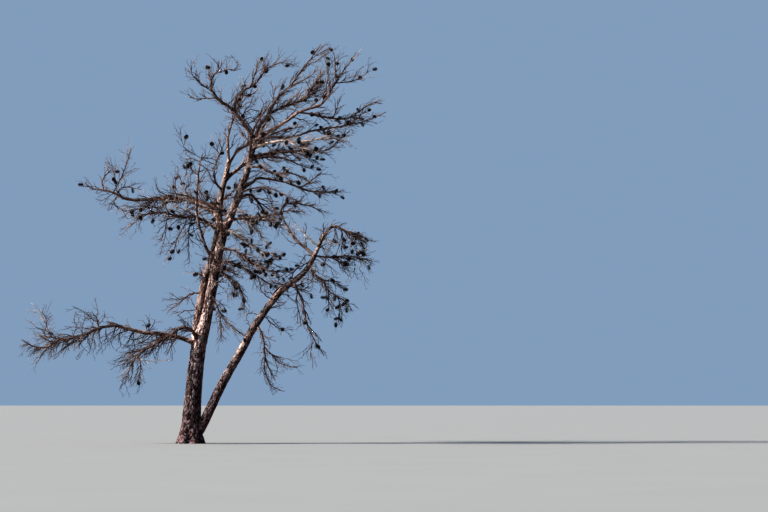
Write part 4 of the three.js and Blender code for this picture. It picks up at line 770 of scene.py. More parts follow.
def grow_stem(number, mass):
    """The stem and forks of a mass."""
    stem = Path([start_of(mass), *mass["route"]], mass["foot"], STEM_TIP, STEM_RING_SPACING)
    wood.add_path(number, stem)
    forks = []
    for share, route in mass["forks"]:
        foot = min(stem.radius(share) * FORK_ROOT_SHARE, FORK_ROOT)
        forks.append(Path([stem.at(share), *route], foot, FORK_TIP, STEM_RING_SPACING))
    for fork in forks:
        wood.add_path(number, fork)
    return [stem, *forks]


def grow_twigs(number, mass, seed, path, path_number):
    """Twigs along one path of a mass, which wind round it, shorten towards its tip and lean."""
    twigs = []
    count = math.floor(path.length / TWIG_SPACING)
    for i in range(count):
        roll = [float(chance(seed, path_number, i, n)) for n in range(4)]
        share = between(TWIG_SPAN, (i + between(TWIG_JITTER, roll[0])) / count)
        heading = path.heading(share)
        level, over = side_ways(heading)
        turn = GOLDEN_TURN * i + TWIG_TURN_JITTER * roll[1]
        spread = between(TWIG_SPREAD, roll[2])
        length = mass["reach"] * (1 - TWIG_SHORTENING * share) * between(TWIG_LENGTH, roll[3])
        side = level * math.cos(turn) + over * math.sin(turn) * TWIG_FLATNESS
        direction = unit(heading * math.cos(spread) + side * math.sin(spread) + mass["lean"])
        root = path.at(share)
        radius = min(TWIG_ROOT_RADIUS + TWIG_RADIUS_SHARE * length, TWIG_ROOT_SHARE * path.radius(share))
        tip = root + direction * length
        if wood.fits(number, root, tip, radius):
            wood.add(number, root, tip, radius)
            twigs.append((root, tip, radius))
    return twigs


def grow_tip_cones(number, mass, seed, twigs):
    """Cones at the points of a mass's twigs, hanging outwards, as feet, directions and lengths."""
    cones = []
    bare = list(twigs)
    i = 0
    while len(cones) < mass["tip_cones"] and i < CONE_TRIES * mass["tip_cones"] and bare:
        roll = [float(chance(seed, CONE_KEY, i, n)) for n in range(5)]
        root, tip, _ = bare.pop(math.floor(roll[0] * len(bare)))
        bend = np.array([roll[1] - 0.5, roll[2] - 0.5, -CONE_DROOP * roll[3]])
        direction = unit(unit(tip - root) + bend)
        length = between(CONE_LENGTH, roll[4])
        radius = length * CONE_WIDTH_SHARE / 2
        if wood.fits(number, tip, tip + direction * length, radius):
            wood.add(number, tip, tip + direction * length, radius)
            cones.append((tip, direction, length))
        i += 1
    return cones


for number, limb in enumerate(LIMBS):
    grow_limb(number, limb)
thick = wood.count  # the pieces so far are limbs, which fine twigs keep out of
mass_numbers = {mass["name"]: len(LIMBS) + seed for seed, mass in enumerate(MASSES)}
stems = {mass["name"]: grow_stem(mass_numbers[mass["name"]], mass) for mass in MASSES}
twigs = {}
cones = {}
for seed, mass in enumerate(MASSES):
    name = mass["name"]
    twigs[name] = []
    for path_number, path in enumerate(stems[name]):
        twigs[name] += grow_twigs(mass_numbers[name], mass, seed, path, path_number)
    cones[name] = grow_tip_cones(mass_numbers[name], mass, seed, twigs[name])


# Meshes from arrays

class Soup:
    """Gathers vertices and faces, each face with the number of its material, and makes one mesh of them."""

    def __init__(self):
        self.vertices = []
        self.faces = []
        self.tones = []
        self.count = 0

    def add(self, vertices, faces, tones):
        """faces holds one array of corners for each kind of face, and tones one array of numbers each."""
        self.vertices.append(vertices)
        for corners, tone in zip(faces, tones):
            self.faces.append(corners + self.count)
            self.tones.append(tone)
        self.count += len(vertices)

    def mesh(self, name):
        vertices = np.concatenate(self.vertices)
        corners = np.concatenate([f.ravel() for f in self.faces])
        sizes = np.concatenate([np.full(len(f), f.shape[1]) for f in self.faces])
        mesh = bpy.data.meshes.new(name)
        mesh.vertices.add(len(vertices))
        mesh.vertices.foreach_set("co", vertices.astype(np.float32).ravel())
        mesh.loops.add(len(corners))
        mesh.loops.foreach_set("vertex_index", corners.astype(np.int32))
        mesh.polygons.add(len(sizes))
        mesh.polygons.foreach_set("loop_start", (np.cumsum(sizes) - sizes).astype(np.int32))
        mesh.polygons.foreach_set("material_index", np.concatenate(self.tones).astype(np.int32))
        mesh.polygons.foreach_set("use_smooth", np.ones(len(sizes), bool))
        mesh.update(calc_edges=True)
        return mesh


def frames_along(points):
    """Headings and two side directions at each ring of each line, carried along without a twist."""
    ahead = np.gradient(points, axis=1)
    heading = unit(ahead)
    least = np.argmin(np.abs(heading[:, 0]), axis=1)
    side = unit(np.cross(heading[:, 0], np.eye(3)[least]))
    sides = [side]
    for j in range(1, points.shape[1]):
        along = np.einsum("ij,ij->i", side, heading[:, j])[:, None]
        side = unit(side - along * heading[:, j])
        sides.append(side)
    sides = np.stack(sides, axis=1)
    return heading, sides, np.cross(heading, sides)


def ring_ways(points, corners):
    """The way from each ring's centre to each of its corners."""
    _, side, over = frames_along(points)
    angle = np.arange(corners) * 2 * math.pi / corners
    return side[:, :, None] * np.cos(angle)[:, None] + over[:, :, None] * np.sin(angle)[:, None]


def add_tubes(soup, points, radii, corners, tones):
    """Closed tubes along lines of one number of rings. radii holds one for each ring, or each corner."""
    lines, rings = points.shape[:2]
    if radii.ndim == 2:
        radii = radii[:, :, None]
    vertices = (points[:, :, None] + ring_ways(points, corners) * radii[..., None]).reshape(-1, 3)
    line = np.arange(lines)[:, None, None] * rings * corners
    ring = np.arange(rings - 1)[None, :, None] * corners
    k = np.arange(corners)[None, None]
    here = line + ring + k
    there = line + ring + (k + 1) % corners
    quads = np.stack([here, there, there + corners, here + corners], axis=-1).reshape(-1, 4)
    foot = np.arange(lines)[:, None] * rings * corners + np.arange(corners)[None]
    caps = np.concatenate([foot[:, ::-1], foot + (rings - 1) * corners])
    quad_tones = np.repeat(tones, (rings - 1) * corners)
    soup.add(vertices, [quads, caps], [quad_tones, np.concatenate([tones, tones])])


def link(name, data):
    """Puts a mesh, a lamp or a lens into the scene under a name."""
    piece = bpy.data.objects.new(name, data)
    bpy.context.scene.collection.objects.link(piece)
    return piece


# Noise for the relief of the bark

FAR = 9.0  # further than any place or plate that counts


def value_noise(places, seed):
    """Smooth noise from 0 to 1, with one random value at each corner of a unit grid."""
    cell = np.floor(places).astype(np.int64)
    w = places - cell
    w = w * w * (3 - 2 * w)
    total = 0
    for dx in (0, 1):
        for dy in (0, 1):
            for dz in (0, 1):
                share = (w[:, 0] if dx else 1 - w[:, 0]) * (w[:, 1] if dy else 1 - w[:, 1])
                share = share * (w[:, 2] if dz else 1 - w[:, 2])
                total = total + share * chance(seed, cell[:, 0] + dx, cell[:, 1] + dy, cell[:, 2] + dz)
    return total


def plates_of(places, seed):
    """For each place, how far it is inside its plate, and a random number for that plate."""
    cell = np.floor(places).astype(np.int64)
    nearest = np.full(len(places), FAR)
    second = np.full(len(places), FAR)
    plate = np.zeros(len(places))
    for dx in (-1, 0, 1):
        for dy in (-1, 0, 1):
            for dz in (-1, 0, 1):
                x, y, z = cell[:, 0] + dx, cell[:, 1] + dy, cell[:, 2] + dz
                jitter = np.stack([chance(seed, x, y, z, n) for n in range(3)], axis=1)
                d = np.linalg.norm(cell + (dx, dy, dz) + jitter - places, axis=1)
                closer = d < nearest
                second = np.where(closer, nearest, np.minimum(second, d))
                plate = np.where(closer, chance(seed, x, y, z, 3), plate)
                nearest = np.minimum(nearest, d)
    return second - nearest, plate


# Bark

BARK_VOXEL = {"trunk_bark": 0.009}
OTHER_VOXEL = 0.0106
BARK_RING = 0.04  # between the rings that the bark is laid over
SADDLE_HEIGHT = 0.5  # how far the trunk runs on between its two stems
SADDLE_LEAN = (0.12, 0.02, 1.0)
SADDLE_OVERLAP = 0.1  # how far down it starts inside the trunk
SADDLE_TAPER = 0.75
SADDLE_RINGS = 12
SADDLE_CORNERS = 32
TRUNK_CORNERS = 64
THICK_CORNERS = 24
THIN_CORNERS = 16
THICK_FOOT = 0.05  # the radius from which a limb gets the more corners
COLLAR_SWELL = 0.5  # share of a limb's radius that its collar adds where it leaves its parent
LEADER_SWELL = 0.1  # and where a stem leaves the trunk
LEADER_RADIUS = 0.07
COLLAR_REACH = 1.2  # radii over which the collar dies away
COLLAR_DIVE = 0.35  # share of the radius by which a collar's end dips under the bark of its own limb
COLLAR_LENGTH = 3.2  # radii from the parent's bark to the collar's end
COLLAR_SHARE = 0.9  # of its limb, at most
COLLAR_WIDTH = 1.04  # its radius over its limb's, before it dives
BARK_STEP = 0.06  # between the places on a limb that the bark's coordinates are worked out from
LIMB_OFFSET = 37.0  # keeps one limb's plates apart from another's
PLATE_WIDTH_SHARE = 0.46  # of the limb's radius
PLATE_WIDTH = (0.02, 0.04)
PLATE_STRETCH = 2.4  # a plate's length over its width
FURROW_DEPTH = (0.0012, 0.013)
FURROW_SHARE = 0.07  # of the limb's radius, on an old limb
CRACK_WIDTH = (0.02, 0.2)  # of a plate, where a crack's side begins to rise and where it is up
KNOTS = [  # places of bosses where boughs have been shed
    (0.92, -0.06, 4.9),
    (1.19, -0.03, 5.72),
    (0.36, -0.17, 2.72),
    (0.08, -0.15, 1.32),
    (1.58, -0.34, 2.68),
    (1.52, -0.34, 2.74),
    (0.95, -0.27, 1.6),
    (0.86, -0.24, 1.32),
    (1.12, -0.29, 1.86),
    (0.3, 0.02, 3.42),
]
PAINTED_SHADE_WAY = (0.8, 0, -0.6)  # the way, away from the sun, that the bark's side with painted shade faces
PAINTED_SHADE_RANGE = (0.0, 0.42)  # how squarely it faces that way where the painted shade begins and where it is full
KNOT_RADIUS = 0.042
KNOT_HEIGHT = 0.018
BARE_PATCHES = [  # places where the bark has come away: centre, half height and half width
    ((0.82, -0.11, 4.72), 0.18, 0.05),
    ((0.97, -0.06, 5.06), 0.1, 0.04),
    ((0.3, 0.02, 3.5), 0.1, 0.045),
    ((0.15, 0.02, 2.8), 0.1, 0.04),
    ((1.17, -0.04, 5.62), 0.13, 0.035),
    ((1.42, -0.2, 5.78), 0.05, 0.1),
    ((1.56, -0.2, 5.68), 0.05, 0.08),
    ((1.16, -0.26, 2.18), 0.04, 0.03),
    ((1.06, -0.26, 1.98), 0.05, 0.03),
    ((0.955, -0.24, 1.82), 0.045, 0.03),
    ((0.865, -0.22, 1.66), 0.05, 0.03),
    ((1.44, -0.25, 2.72), 0.08, 0.05),
]
PATCH_HALF_DEPTH = 0.16
PATCH_RAGGEDNESS = 0.45
PATCH_GRAIN = 28  # waves of the noise in a metre
PATCH_RIM = (1.1, 0.85)  # half sizes from its centre where a patch begins and where it is full
WARP_SCALE = 1.3  # waves of the noise that warps the plates, in one plate
PLATE_WARP = 0.75  # how far the noise pushes the plates about
FLAKE_SCALE = (2.3, 2.3, 1.7)  # flakes in a plate, across it and along it
OLD_RADIUS = (0.04, 0.12)  # radii from which, and at which, a limb's bark is old
YOUNG_RADIUS = (0.075, 0.03)  # and from which, and at which, it is young
FLAKE_EDGE = 0.25
PLATE_LIFT = 0.5  # shares of the furrows' depth
FLAKE_DEPTH = 0.22
FLAKE_LIFT = 0.25
BARE_SMOOTHING = 0.75  # how much flatter the relief is on bare wood
BARE_DEPTH = 0.55  # how far bare wood lies in, as a share of the furrows' depth
LUMP_SCALE = 7
LUMP_SHARE = 0.05  # of the limb's radius
LUMP_HEIGHT = 0.002
COARSE_SCALE = (24, 24, 12)
SHED_SCALE = (9, 9, 5)
SHED_RANGE = (0.72, 0.8)  # of the noise, where bark begins to be lost and where it is gone
SHED_ON_OLD = 0.25  # how much of the bark's loss shows on old limbs
SHED_HEIGHT = 2.2  # below it no more bark is lost than the patches


def add_bark_tube(soup, path, end, radius_of, corners):
    """A tube of bark along a path, from its start to a distance along it."""
    rings = max(3, math.ceil(end / BARK_RING) + 1)
    d = np.linspace(0, end, rings)
    add_tubes(soup, path.smooth(d / path.length)[None], radius_of(d)[None], corners, np.zeros(1, int))


def parent_radius(row):
    """How thick the parent is where this limb or stem starts."""
    parent = limb_paths[row["parent"]]
    if row["height"] is TIP:
        return 0.0
    heights = parent.centres[:, 2]
    return parent.radius(float(np.interp(row["height"], heights, np.linspace(0, 1, len(heights)))))


def limb_radius(row, path):
    """The limb's radius by distance along it, with a collar where it leaves its parent."""
    inside = parent_radius(row) if row["parent"] else 0.0
    swell = 0.0 if inside == 0 else LEADER_SWELL if path.foot > LEADER_RADIUS else COLLAR_SWELL

    def radius(d):
        plain = path.radius(np.clip(d / path.length, 0, 1))
        beyond = np.maximum(d - inside, 0)
        return plain * (1 + swell * np.exp(-beyond / (COLLAR_REACH * path.foot)))

    return radius


def collar(soup, row, path):
    """The foot of a limb or stem, as part of its parent's bark, which dives under the child's own."""
    inside = parent_radius(row)
    end = inside + COLLAR_LENGTH * path.foot + BARK_RING
    plain = limb_radius(row, path) if inside > 0 else lambda d: path.radius(d / path.length)

    def radius(d):
        return plain(d) * (COLLAR_WIDTH - COLLAR_DIVE * smoothstep(end - 2 * path.foot, end, d))

    add_bark_tube(soup, path, min(end, path.length * COLLAR_SHARE), radius, THIN_CORNERS)


def add_trunk(soup, path):
    """The trunk, whose foot swells into roots that stand out in lobes."""
    rings = math.ceil(path.length / BARK_RING) + 1
    share = np.linspace(0, 1, rings)
    points = path.smooth(share)[None]
    out = ring_ways(points, TRUNK_CORNERS)[0]
    compass = np.arctan2(out[..., 0], out[..., 1])
    height = np.maximum(points[0, :, 2], 0)[:, None]
    lobes = 1 + FLARE_LOBE_DEPTH * np.cos(FLARE_LOBES * compass)
    flare = FLARE * lobes * np.exp(-height / FLARE_HEIGHT)
    radii = path.radius(share)[:, None] + flare
    add_tubes(soup, points, radii[None], TRUNK_CORNERS, np.zeros(1, int))
    climb = np.linspace(-SADDLE_OVERLAP, SADDLE_HEIGHT, SADDLE_RINGS)
    saddle = path.centres[-1] + climb[:, None] * np.array(SADDLE_LEAN)
    narrow = path.tip * (1 - SADDLE_TAPER * smoothstep(-SADDLE_OVERLAP, SADDLE_HEIGHT, climb))
    add_tubes(soup, saddle[None], narrow[None], SADDLE_CORNERS, np.zeros(1, int))


def remeshed(name, soup, voxel):
    """One closed skin over the tubes of a soup."""
    rough = link(name + "_rough", soup.mesh(name + "_rough"))
    remesh = rough.modifiers.new("skin", "REMESH")
    remesh.mode = "VOXEL"
    remesh.voxel_size = voxel
    graph = bpy.context.evaluated_depsgraph_get()
    mesh = bpy.data.meshes.new_from_object(rough.evaluated_get(graph))
    mesh.name = name
    bpy.data.objects.remove(rough)
    return mesh


def along_limbs(names, places):
    """Bark coordinates of each place on its nearest limb: round it in x and y, along it in z."""
    best = np.full(len(places), FAR)
    where = np.zeros((len(places), 3))
    radius = np.zeros(len(places))
    for number, name in enumerate(names):
        path = limb_paths[name]
        count = max(4, math.ceil(path.length / BARK_STEP))
        share = np.linspace(0, 1, count + 1)
        line = path.smooth(share)
        _, side, over = (v[0] for v in frames_along(line[None]))
        plain = path.radius(share)
        width = np.clip(PLATE_WIDTH_SHARE * plain, *PLATE_WIDTH)
        step = path.length / count
        laid = np.concatenate([[0], np.cumsum(step / (width[1:] * PLATE_STRETCH))])
        for span in spans_of(len(places)):
            p = places[span]
            t, d = to_pieces(p, line[:-1], line[1:])
            i = np.argmin(d, axis=1)
            rows = np.arange(len(p))
            t, d = t[rows, i], d[rows, i]
            r = plain[i] * (1 - t) + plain[i + 1] * t
            off = p - line[i] - t[:, None] * (line[i + 1] - line[i])
            x = np.einsum("ij,ij->i", off, side[i])
            y = np.einsum("ij,ij->i", off, over[i])
            turn = np.arctan2(y, x)
            w = width[i] * (1 - t) + width[i + 1] * t
            height = laid[i] + t * (laid[i + 1] - laid[i])
            bark = np.stack([r / w * np.cos(turn), r / w * np.sin(turn), height], 1)
            closer = d - r < best[span]
            best[span] = np.where(closer, d - r, best[span])
            where[span] = np.where(closer[:, None], bark + LIMB_OFFSET * number, where[span])
            radius[span] = np.where(closer, r, radius[span])
    return where, radius


def vertex_values(mesh, name):
    """The places or the normals of a mesh's vertices."""
    values = np.empty(len(mesh.vertices) * 3)
    mesh.vertices.foreach_get(name, values)
    return values.reshape(-1, 3)


def give(mesh, name, values):
    """Stores one number, or three, at each vertex, for the shader to read."""
    kind = "FLOAT" if values.ndim == 1 else "FLOAT_VECTOR"
    layer = mesh.attributes.new(name, kind, "POINT")
    layer.data.foreach_set("value" if values.ndim == 1 else "vector", values.astype(np.float32).ravel())


def patches(places):
    """Where the bark has come away, from 0 to 1."""
    bare = np.zeros(len(places))
    ragged = PATCH_RAGGEDNESS * (value_noise(places * PATCH_GRAIN, 61) - 0.5)
    for centre, half_height, half_width in BARE_PATCHES:
        x, y, z = (places - centre).T
        d = np.sqrt((z / half_height) ** 2 + (x / half_width) ** 2 + (y / PATCH_HALF_DEPTH) ** 2)
        bare = np.maximum(bare, smoothstep(*PATCH_RIM, d + ragged))
    return bare


def raise_bark(mesh, names):
    """Moves a skin's vertices out and in for plates, cracks, knots and bare patches."""
    places = vertex_values(mesh, "co")
    normals = vertex_values(mesh, "normal")
    bark, radius = along_limbs(names, places)
    warp = np.stack([value_noise(bark * WARP_SCALE + 9 * n, 21 + n) for n in range(3)], axis=1) - 0.5
    inside, plate = plates_of(bark + PLATE_WARP * warp, 31)
    small_inside, small_plate = plates_of(bark * FLAKE_SCALE + warp, 32)
    mask = smoothstep(*CRACK_WIDTH, inside)
    flakes = smoothstep(0, FLAKE_EDGE, small_inside)
    depth = np.clip(FURROW_SHARE * radius, *FURROW_DEPTH)
    relief = mask - 1 + PLATE_LIFT * (plate - 0.5) * mask
    relief = relief + FLAKE_DEPTH * (flakes - 1) + FLAKE_LIFT * (small_plate - 0.5)
    lumps = value_noise(places * LUMP_SCALE, 51) - 0.5
    coarse = value_noise(places * COARSE_SCALE, 52)
    shed = smoothstep(*SHED_RANGE, value_noise(places * SHED_SCALE, 53)) * (places[:, 2] > SHED_HEIGHT)
    shed = shed * between((SHED_ON_OLD, 1), smoothstep(*YOUNG_RADIUS, radius))
    bare = np.maximum(patches(places), shed)
    height = depth * relief * (1 - BARE_SMOOTHING * bare) - BARE_DEPTH * depth * bare
    height = height + (LUMP_SHARE * radius + LUMP_HEIGHT) * lumps
    for knot in KNOTS:
        d = np.linalg.norm(places - knot, axis=1)
        height += KNOT_HEIGHT * np.exp(-((d / KNOT_RADIUS) ** 2))
    places += normals * height[:, None]
    mesh.vertices.foreach_set("co", places.ravel())
    mesh.update()
    give(mesh, "relief", mask * (0.55 + 0.45 * flakes) * (1 - bare) + bare)
    give(mesh, "tint", np.clip(0.55 * plate + 0.25 * small_plate + 0.2 * coarse, 0, 1))
    give(mesh, "bare", bare)
    give(mesh, "old", smoothstep(*OLD_RADIUS, radius))
    give(mesh, "grain", bark)
    # painted shade: how squarely each vertex faces away from the sun, with some noise, for the shader to
    # darken
    give(mesh, "painted_shade", smoothstep(*PAINTED_SHADE_RANGE, normals @ PAINTED_SHADE_WAY + 0.4 * (coarse - 0.5)))


def cut_at_ground(mesh):
    """Cuts a mesh off flat at the ground and closes the cut."""
    body = bmesh.new()
    body.from_mesh(mesh)
    everything = body.verts[:] + body.edges[:] + body.faces[:]
    bmesh.ops.bisect_plane(body, geom=everything, plane_co=(0, 0, 0), plane_no=(0, 0, 1), clear_inner=True)
    rim = [e for e in body.edges if e.is_boundary]
    if rim:
        bmesh.ops.holes_fill(body, edges=rim)
    body.to_mesh(mesh)
    body.free()
    mesh.update()


def bark_piece(name, limbs):
    """The bark of some limbs, with the collars of what grows on them."""
    soup = Soup()
    for row in LIMBS:
        path = limb_paths[row["name"]]
        if row["name"] == "trunk" and "trunk" in limbs:
            add_trunk(soup, path)
        elif row["name"] in limbs:
            corners = THICK_CORNERS if path.foot > THICK_FOOT else THIN_CORNERS
            add_bark_tube(soup, path, path.length, limb_radius(row, path), corners)
        elif row["parent"] in limbs:
            collar(soup, row, path)
    for mass in MASSES:
        if mass["parent"] in limbs:
            collar(soup, mass, stems[mass["name"]][0])
    mesh = remeshed(name, soup, BARK_VOXEL.get(name, OTHER_VOXEL))
    raise_bark(mesh, limbs)
    if min(v.co.z for v in mesh.vertices) < 0:
        cut_at_ground(mesh)
    mesh.polygons.foreach_set("use_smooth", np.ones(len(mesh.polygons), bool))
    mesh.materials.clear()
    mesh.materials.append(bark)
    piece = link(name, mesh)
    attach(piece, "root")
    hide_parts(*limbs)


# Materials

def principled(name, roughness, specular=0.25):
    material = bpy.data.materials.new(name)
    material.use_nodes = True
    shader = material.node_tree.nodes["Principled BSDF"]
    shader.inputs["Roughness"].default_value = roughness
    shader.inputs["Specular IOR Level"].default_value = specular
    return material, material.node_tree, shader


def node(tree, kind, **inputs):
    made = tree.nodes.new(kind)
    for key, value in inputs.items():
        made.inputs[key.replace("_", " ")].default_value = value
    return made


def mix(tree, factor, first, second, blend="MIX"):
    """A colour mixed from two, each given as a colour or as a socket."""
    made = tree.nodes.new("ShaderNodeMix")
    made.data_type = "RGBA"
    made.blend_type = blend
    for socket, value in ((made.inputs[0], factor), (made.inputs[6], first), (made.inputs[7], second)):
        if isinstance(value, bpy.types.NodeSocket):
            tree.links.new(value, socket)
        elif isinstance(value, (int, float)):
            socket.default_value = value
        else:
            socket.default_value = (*value, 1)
    return made.outputs[2]


def ramp(tree, value, low, high):
    """A number that rises from 0 to 1 between two values of another."""
    made = node(tree, "ShaderNodeMapRange", From_Min=low, From_Max=high)
    tree.links.new(value, made.inputs["Value"])
    return made.outputs["Result"]


def noise(tree, vector, scale, detail=4):
    made = node(tree, "ShaderNodeTexNoise", Scale=scale, Detail=detail)
    tree.links.new(vector, made.inputs["Vector"])
    return made.outputs["Fac"]


def bump(tree, shader, height, strength, distance):
    made = node(tree, "ShaderNodeBump", Strength=strength, Distance=distance)
    tree.links.new(height, made.inputs["Height"])
    tree.links.new(made.outputs["Normal"], shader.inputs["Normal"])


FURROW = (0.02, 0.0105, 0.009)
OLD_DARK = (0.095, 0.05, 0.043)
OLD_PALE = (0.74, 0.58, 0.54)
YOUNG_DARK = (0.12, 0.055, 0.038)
YOUNG_PALE = (0.72, 0.53, 0.44)
BARE_WOOD = (0.34, 0.235, 0.19)
GREYED = (0.3, 0.235, 0.21)
FOOT_HEIGHTS = (1.5, 0.2)  # painted shadow over the trunk's foot: the bark darkens from the first height down to the second
# the colour that the painted shadow at the trunk's foot multiplies the bark by
FOOT_SHADOW_COLOUR = (0.7, 0.6, 0.64)
BLOTCH_STAIN = (0.46, 0.4, 0.38)
# painted shade: what the bark is multiplied by on its side away from the sun
PAINTED_SHADE_COLOUR = (0.36, 0.3, 0.33)


def darkened(tree, share, colour, stain):
    """A colour that is darker where the share is high: in a blotch, in the painted shadow near the ground and
    in the painted shade away from the sun.
    """
    return mix(tree, share, colour, mix(tree, 1, colour, stain, "MULTIPLY"))


def bark_material():
    """Plates from dark to pale over dark furrows, with greyed, worn, stained and bare places, painted shade
    on the side away from the sun and painted shadow over the trunk's foot.
    """
    material, tree, shader = principled("bark", 0.92)
    values = {}
    for name in ("relief", "tint", "bare", "old", "grain", "painted_shade"):
        read = tree.nodes.new("ShaderNodeAttribute")
        read.attribute_name = name
        values[name] = read.outputs["Vector"] if name == "grain" else read.outputs["Fac"]
    place = tree.nodes.new("ShaderNodeTexCoord").outputs["Object"]
    patchy = noise(tree, place, 5.5, 3)
    speckle = noise(tree, place, 75)
    fine = noise(tree, values["grain"], 5.5, 6)
    tint = ramp(tree, values["tint"], 0.3, 0.62)
    old_bark = mix(tree, tint, OLD_DARK, OLD_PALE)
    young_bark = mix(tree, tint, YOUNG_DARK, YOUNG_PALE)
    plate = mix(tree, values["old"], young_bark, old_bark)
    plate = mix(tree, ramp(tree, patchy, 0.52, 0.68), plate, GREYED)
    plate = mix(tree, ramp(tree, fine, 0.52, 0.3), plate, OLD_DARK)
    wood_colour = mix(tree, ramp(tree, speckle, 0.3, 0.8), BARE_WOOD, GREYED)
    blotch = ramp(tree, noise(tree, place, 19, 2), 0.49, 0.41)
    plate = darkened(tree, blotch, plate, BLOTCH_STAIN)
    # painted shade on the bark's side away from the sun
    plate = darkened(tree, values["painted_shade"], plate, PAINTED_SHADE_COLOUR)
    surface = mix(tree, ramp(tree, values["relief"], 0.08, 0.62), FURROW, plate)
    surface = mix(tree, values["bare"], surface, wood_colour)
    height = tree.nodes.new("ShaderNodeSeparateXYZ")
    tree.links.new(place, height.inputs["Vector"])
    # painted shadow: the bark darkens towards the trunk's foot
    surface = darkened(tree, ramp(tree, height.outputs["Z"], *FOOT_HEIGHTS), surface, FOOT_SHADOW_COLOUR)
    tree.links.new(surface, shader.inputs["Base Color"])
    bump(tree, shader, noise(tree, place, 130, 5), 0.55, 0.004)
    return material


def twig_material(name, dark, pale, roughness=0.85, scale=60):
    """Plain wood that wavers a little between two near colours."""
    material, tree, shader = principled(name, roughness)
    place = tree.nodes.new("ShaderNodeTexCoord").outputs["Object"]
    colour = mix(tree, ramp(tree, noise(tree, place, scale), 0.35, 0.65), dark, pale)
    tree.links.new(colour, shader.inputs["Base Color"])
    bump(tree, shader, noise(tree, place, 240, 3), 0.5, 0.0015)
    return material


bark = bark_material()
TWIG_MATERIALS = [twig_material(*row) for row in (  # in the order of the tones
    ("grey_twig", (0.11, 0.077, 0.066), (0.19, 0.14, 0.12)),
    ("purple_twig", (0.075, 0.038, 0.033), (0.14, 0.08, 0.068)),
    ("dark_twig", (0.032, 0.019, 0.016), (0.066, 0.04, 0.034)),
    ("pale_twig", (0.28, 0.215, 0.19), (0.46, 0.37, 0.33)),
    ("stem_bark", (0.05, 0.024, 0.02), (0.175, 0.1, 0.078), 0.9, 34),
    ("pale_stem", (0.3, 0.23, 0.2), (0.52, 0.42, 0.37), 0.85, 30),
    ("bleached_wood", (0.52, 0.42, 0.37), (0.78, 0.69, 0.63), 0.8, 40),
)]
CONE_MATERIALS = [twig_material(*row) for row in (
    ("cone_inside", (0.014, 0.009, 0.0075), (0.032, 0.02, 0.0165)),
    ("cone_scale", (0.036, 0.025, 0.021), (0.09, 0.066, 0.056)),
)]
for name, limbs in BARK_PIECES.items():
    bark_piece(name, limbs)


# Fine twigs

STEM_STEP = 0.035  # between the rings of a stem
STEM_CORNERS = 9
FORK_CORNERS = 7
TWIG_RINGS = 9
TWIG_CORNERS = 5
BOUGHLET_CORNERS = 4
FINE_CORNERS = 3
BOUGHLETS = dict(spacing=0.11, span=(0.04, 0.97), reach=(0.45, 1.8), radius=0.012, tip=0.0034, rings=8,
                 kink=0.8, pull=0.11)
LIMB_BOUGHLETS = dict(spacing=0.15, span=(0.02, 0.97), length=(0.15, 0.65), radius=0.012, tip=0.0034,
                      rings=8, kink=0.8, pull=0.11)
BRANCHLETS = dict(spacing=0.08, span=(0.06, 0.98), length=(0.08, 0.42), radius=0.0068, tip=0.0025, rings=6,
                  kink=0.7, pull=0.1)
LIMB_BRANCHLETS = dict(BRANCHLETS, spacing=0.12)
SHOOTS = dict(spacing=0.064, span=(0.15, 0.97), length=(0.04, 0.19), radius=0.004, tip=0.0019, rings=3,
              kink=0.6, pull=0.1)
SHOOT_SPREAD = (0.45, 1.05)
SHOOT_SHORTENING = 0.55
PLAIN_SHARES = (0.4, 0.66, 0.82)  # of the sprays, up to which they are grey, purple and dark, then pale
PALE_SHARES = (0.5, 0.85)  # of a pale mass's sprays, up to which they are pale and grey, then purple
SPRIG_RINGS = 16
CARRIER_SAMPLES = 300  # places on a carrier that a sprig may start from
SPRIG_TIP = 0.0032
SPRIG_LEAN = 0.5  # of its carrier's, for the twigs on a sprig
SPRIG_KINK = 0.05  # of its length
TWIG_ARCH = 0.12  # of its length, by which a twig of the solids bends away from its lean
TWIG_LIFT = (0, 0, 0.15)  # added to the lean that a twig arches away from
TWIG_KINK = 0.05
ARCH_EASE = 0.8  # brings the arch and the taper nearer to the twig's foot
TWIG_FOOT_SHARE = 1.1  # of the radius in the solids
LEAST_TWIG_FOOT = 0.0045
TWIG_TIP = 0.0018
SHOOT_LEAN = 0.5  # how much of the lean a shoot sets out with
SHOOT_LENGTH_EASE = 1.5  # makes short shoots more common than long ones
SHOOT_DEPTH = 0.6  # of its parent's radius, where a shoot starts
SHOOT_FOOT = (0.7, 1.3)  # of its level's radius
SHOOT_FOOT_SHARE = 0.75  # of its parent's radius, at most
STEM_KINK = 0.012  # the spread of a stem's rings about its smooth line
THICK_FORK = 0.02  # the foot's radius from which a fork starts right on its stem's centre line
STEM_UNEVENNESS = (0.92, 1.12)
CORNER_UNEVENNESS = (0.9, 1.1)
SLIMNESS = {  # of a stem beside its solid
    "left_under": 0.72, "mid_front": 0.74, "cone_front": 0.72, "cone_back": 0.74, "pale_low": 0.8,
    "pale_mid": 0.85, "low_left_droop": 0.85,
}
STEM_SHOOT_RINGS = 40
STEM_SHOOT_START = 0.06  # the share of a stem's length where its twigs begin
LIMB_SHOOT_START = 0.15
LIMB_SAMPLES = 400  # places on a limb at which its height is read
FEWEST_SAMPLES = 40  # above the bare height, for a limb to bear twigs
REACH_SLACK = 0.02  # how far past the solids' box the finest twigs may go
BARE_HEIGHT = 2.3  # below it the trunk and stems bear no twigs


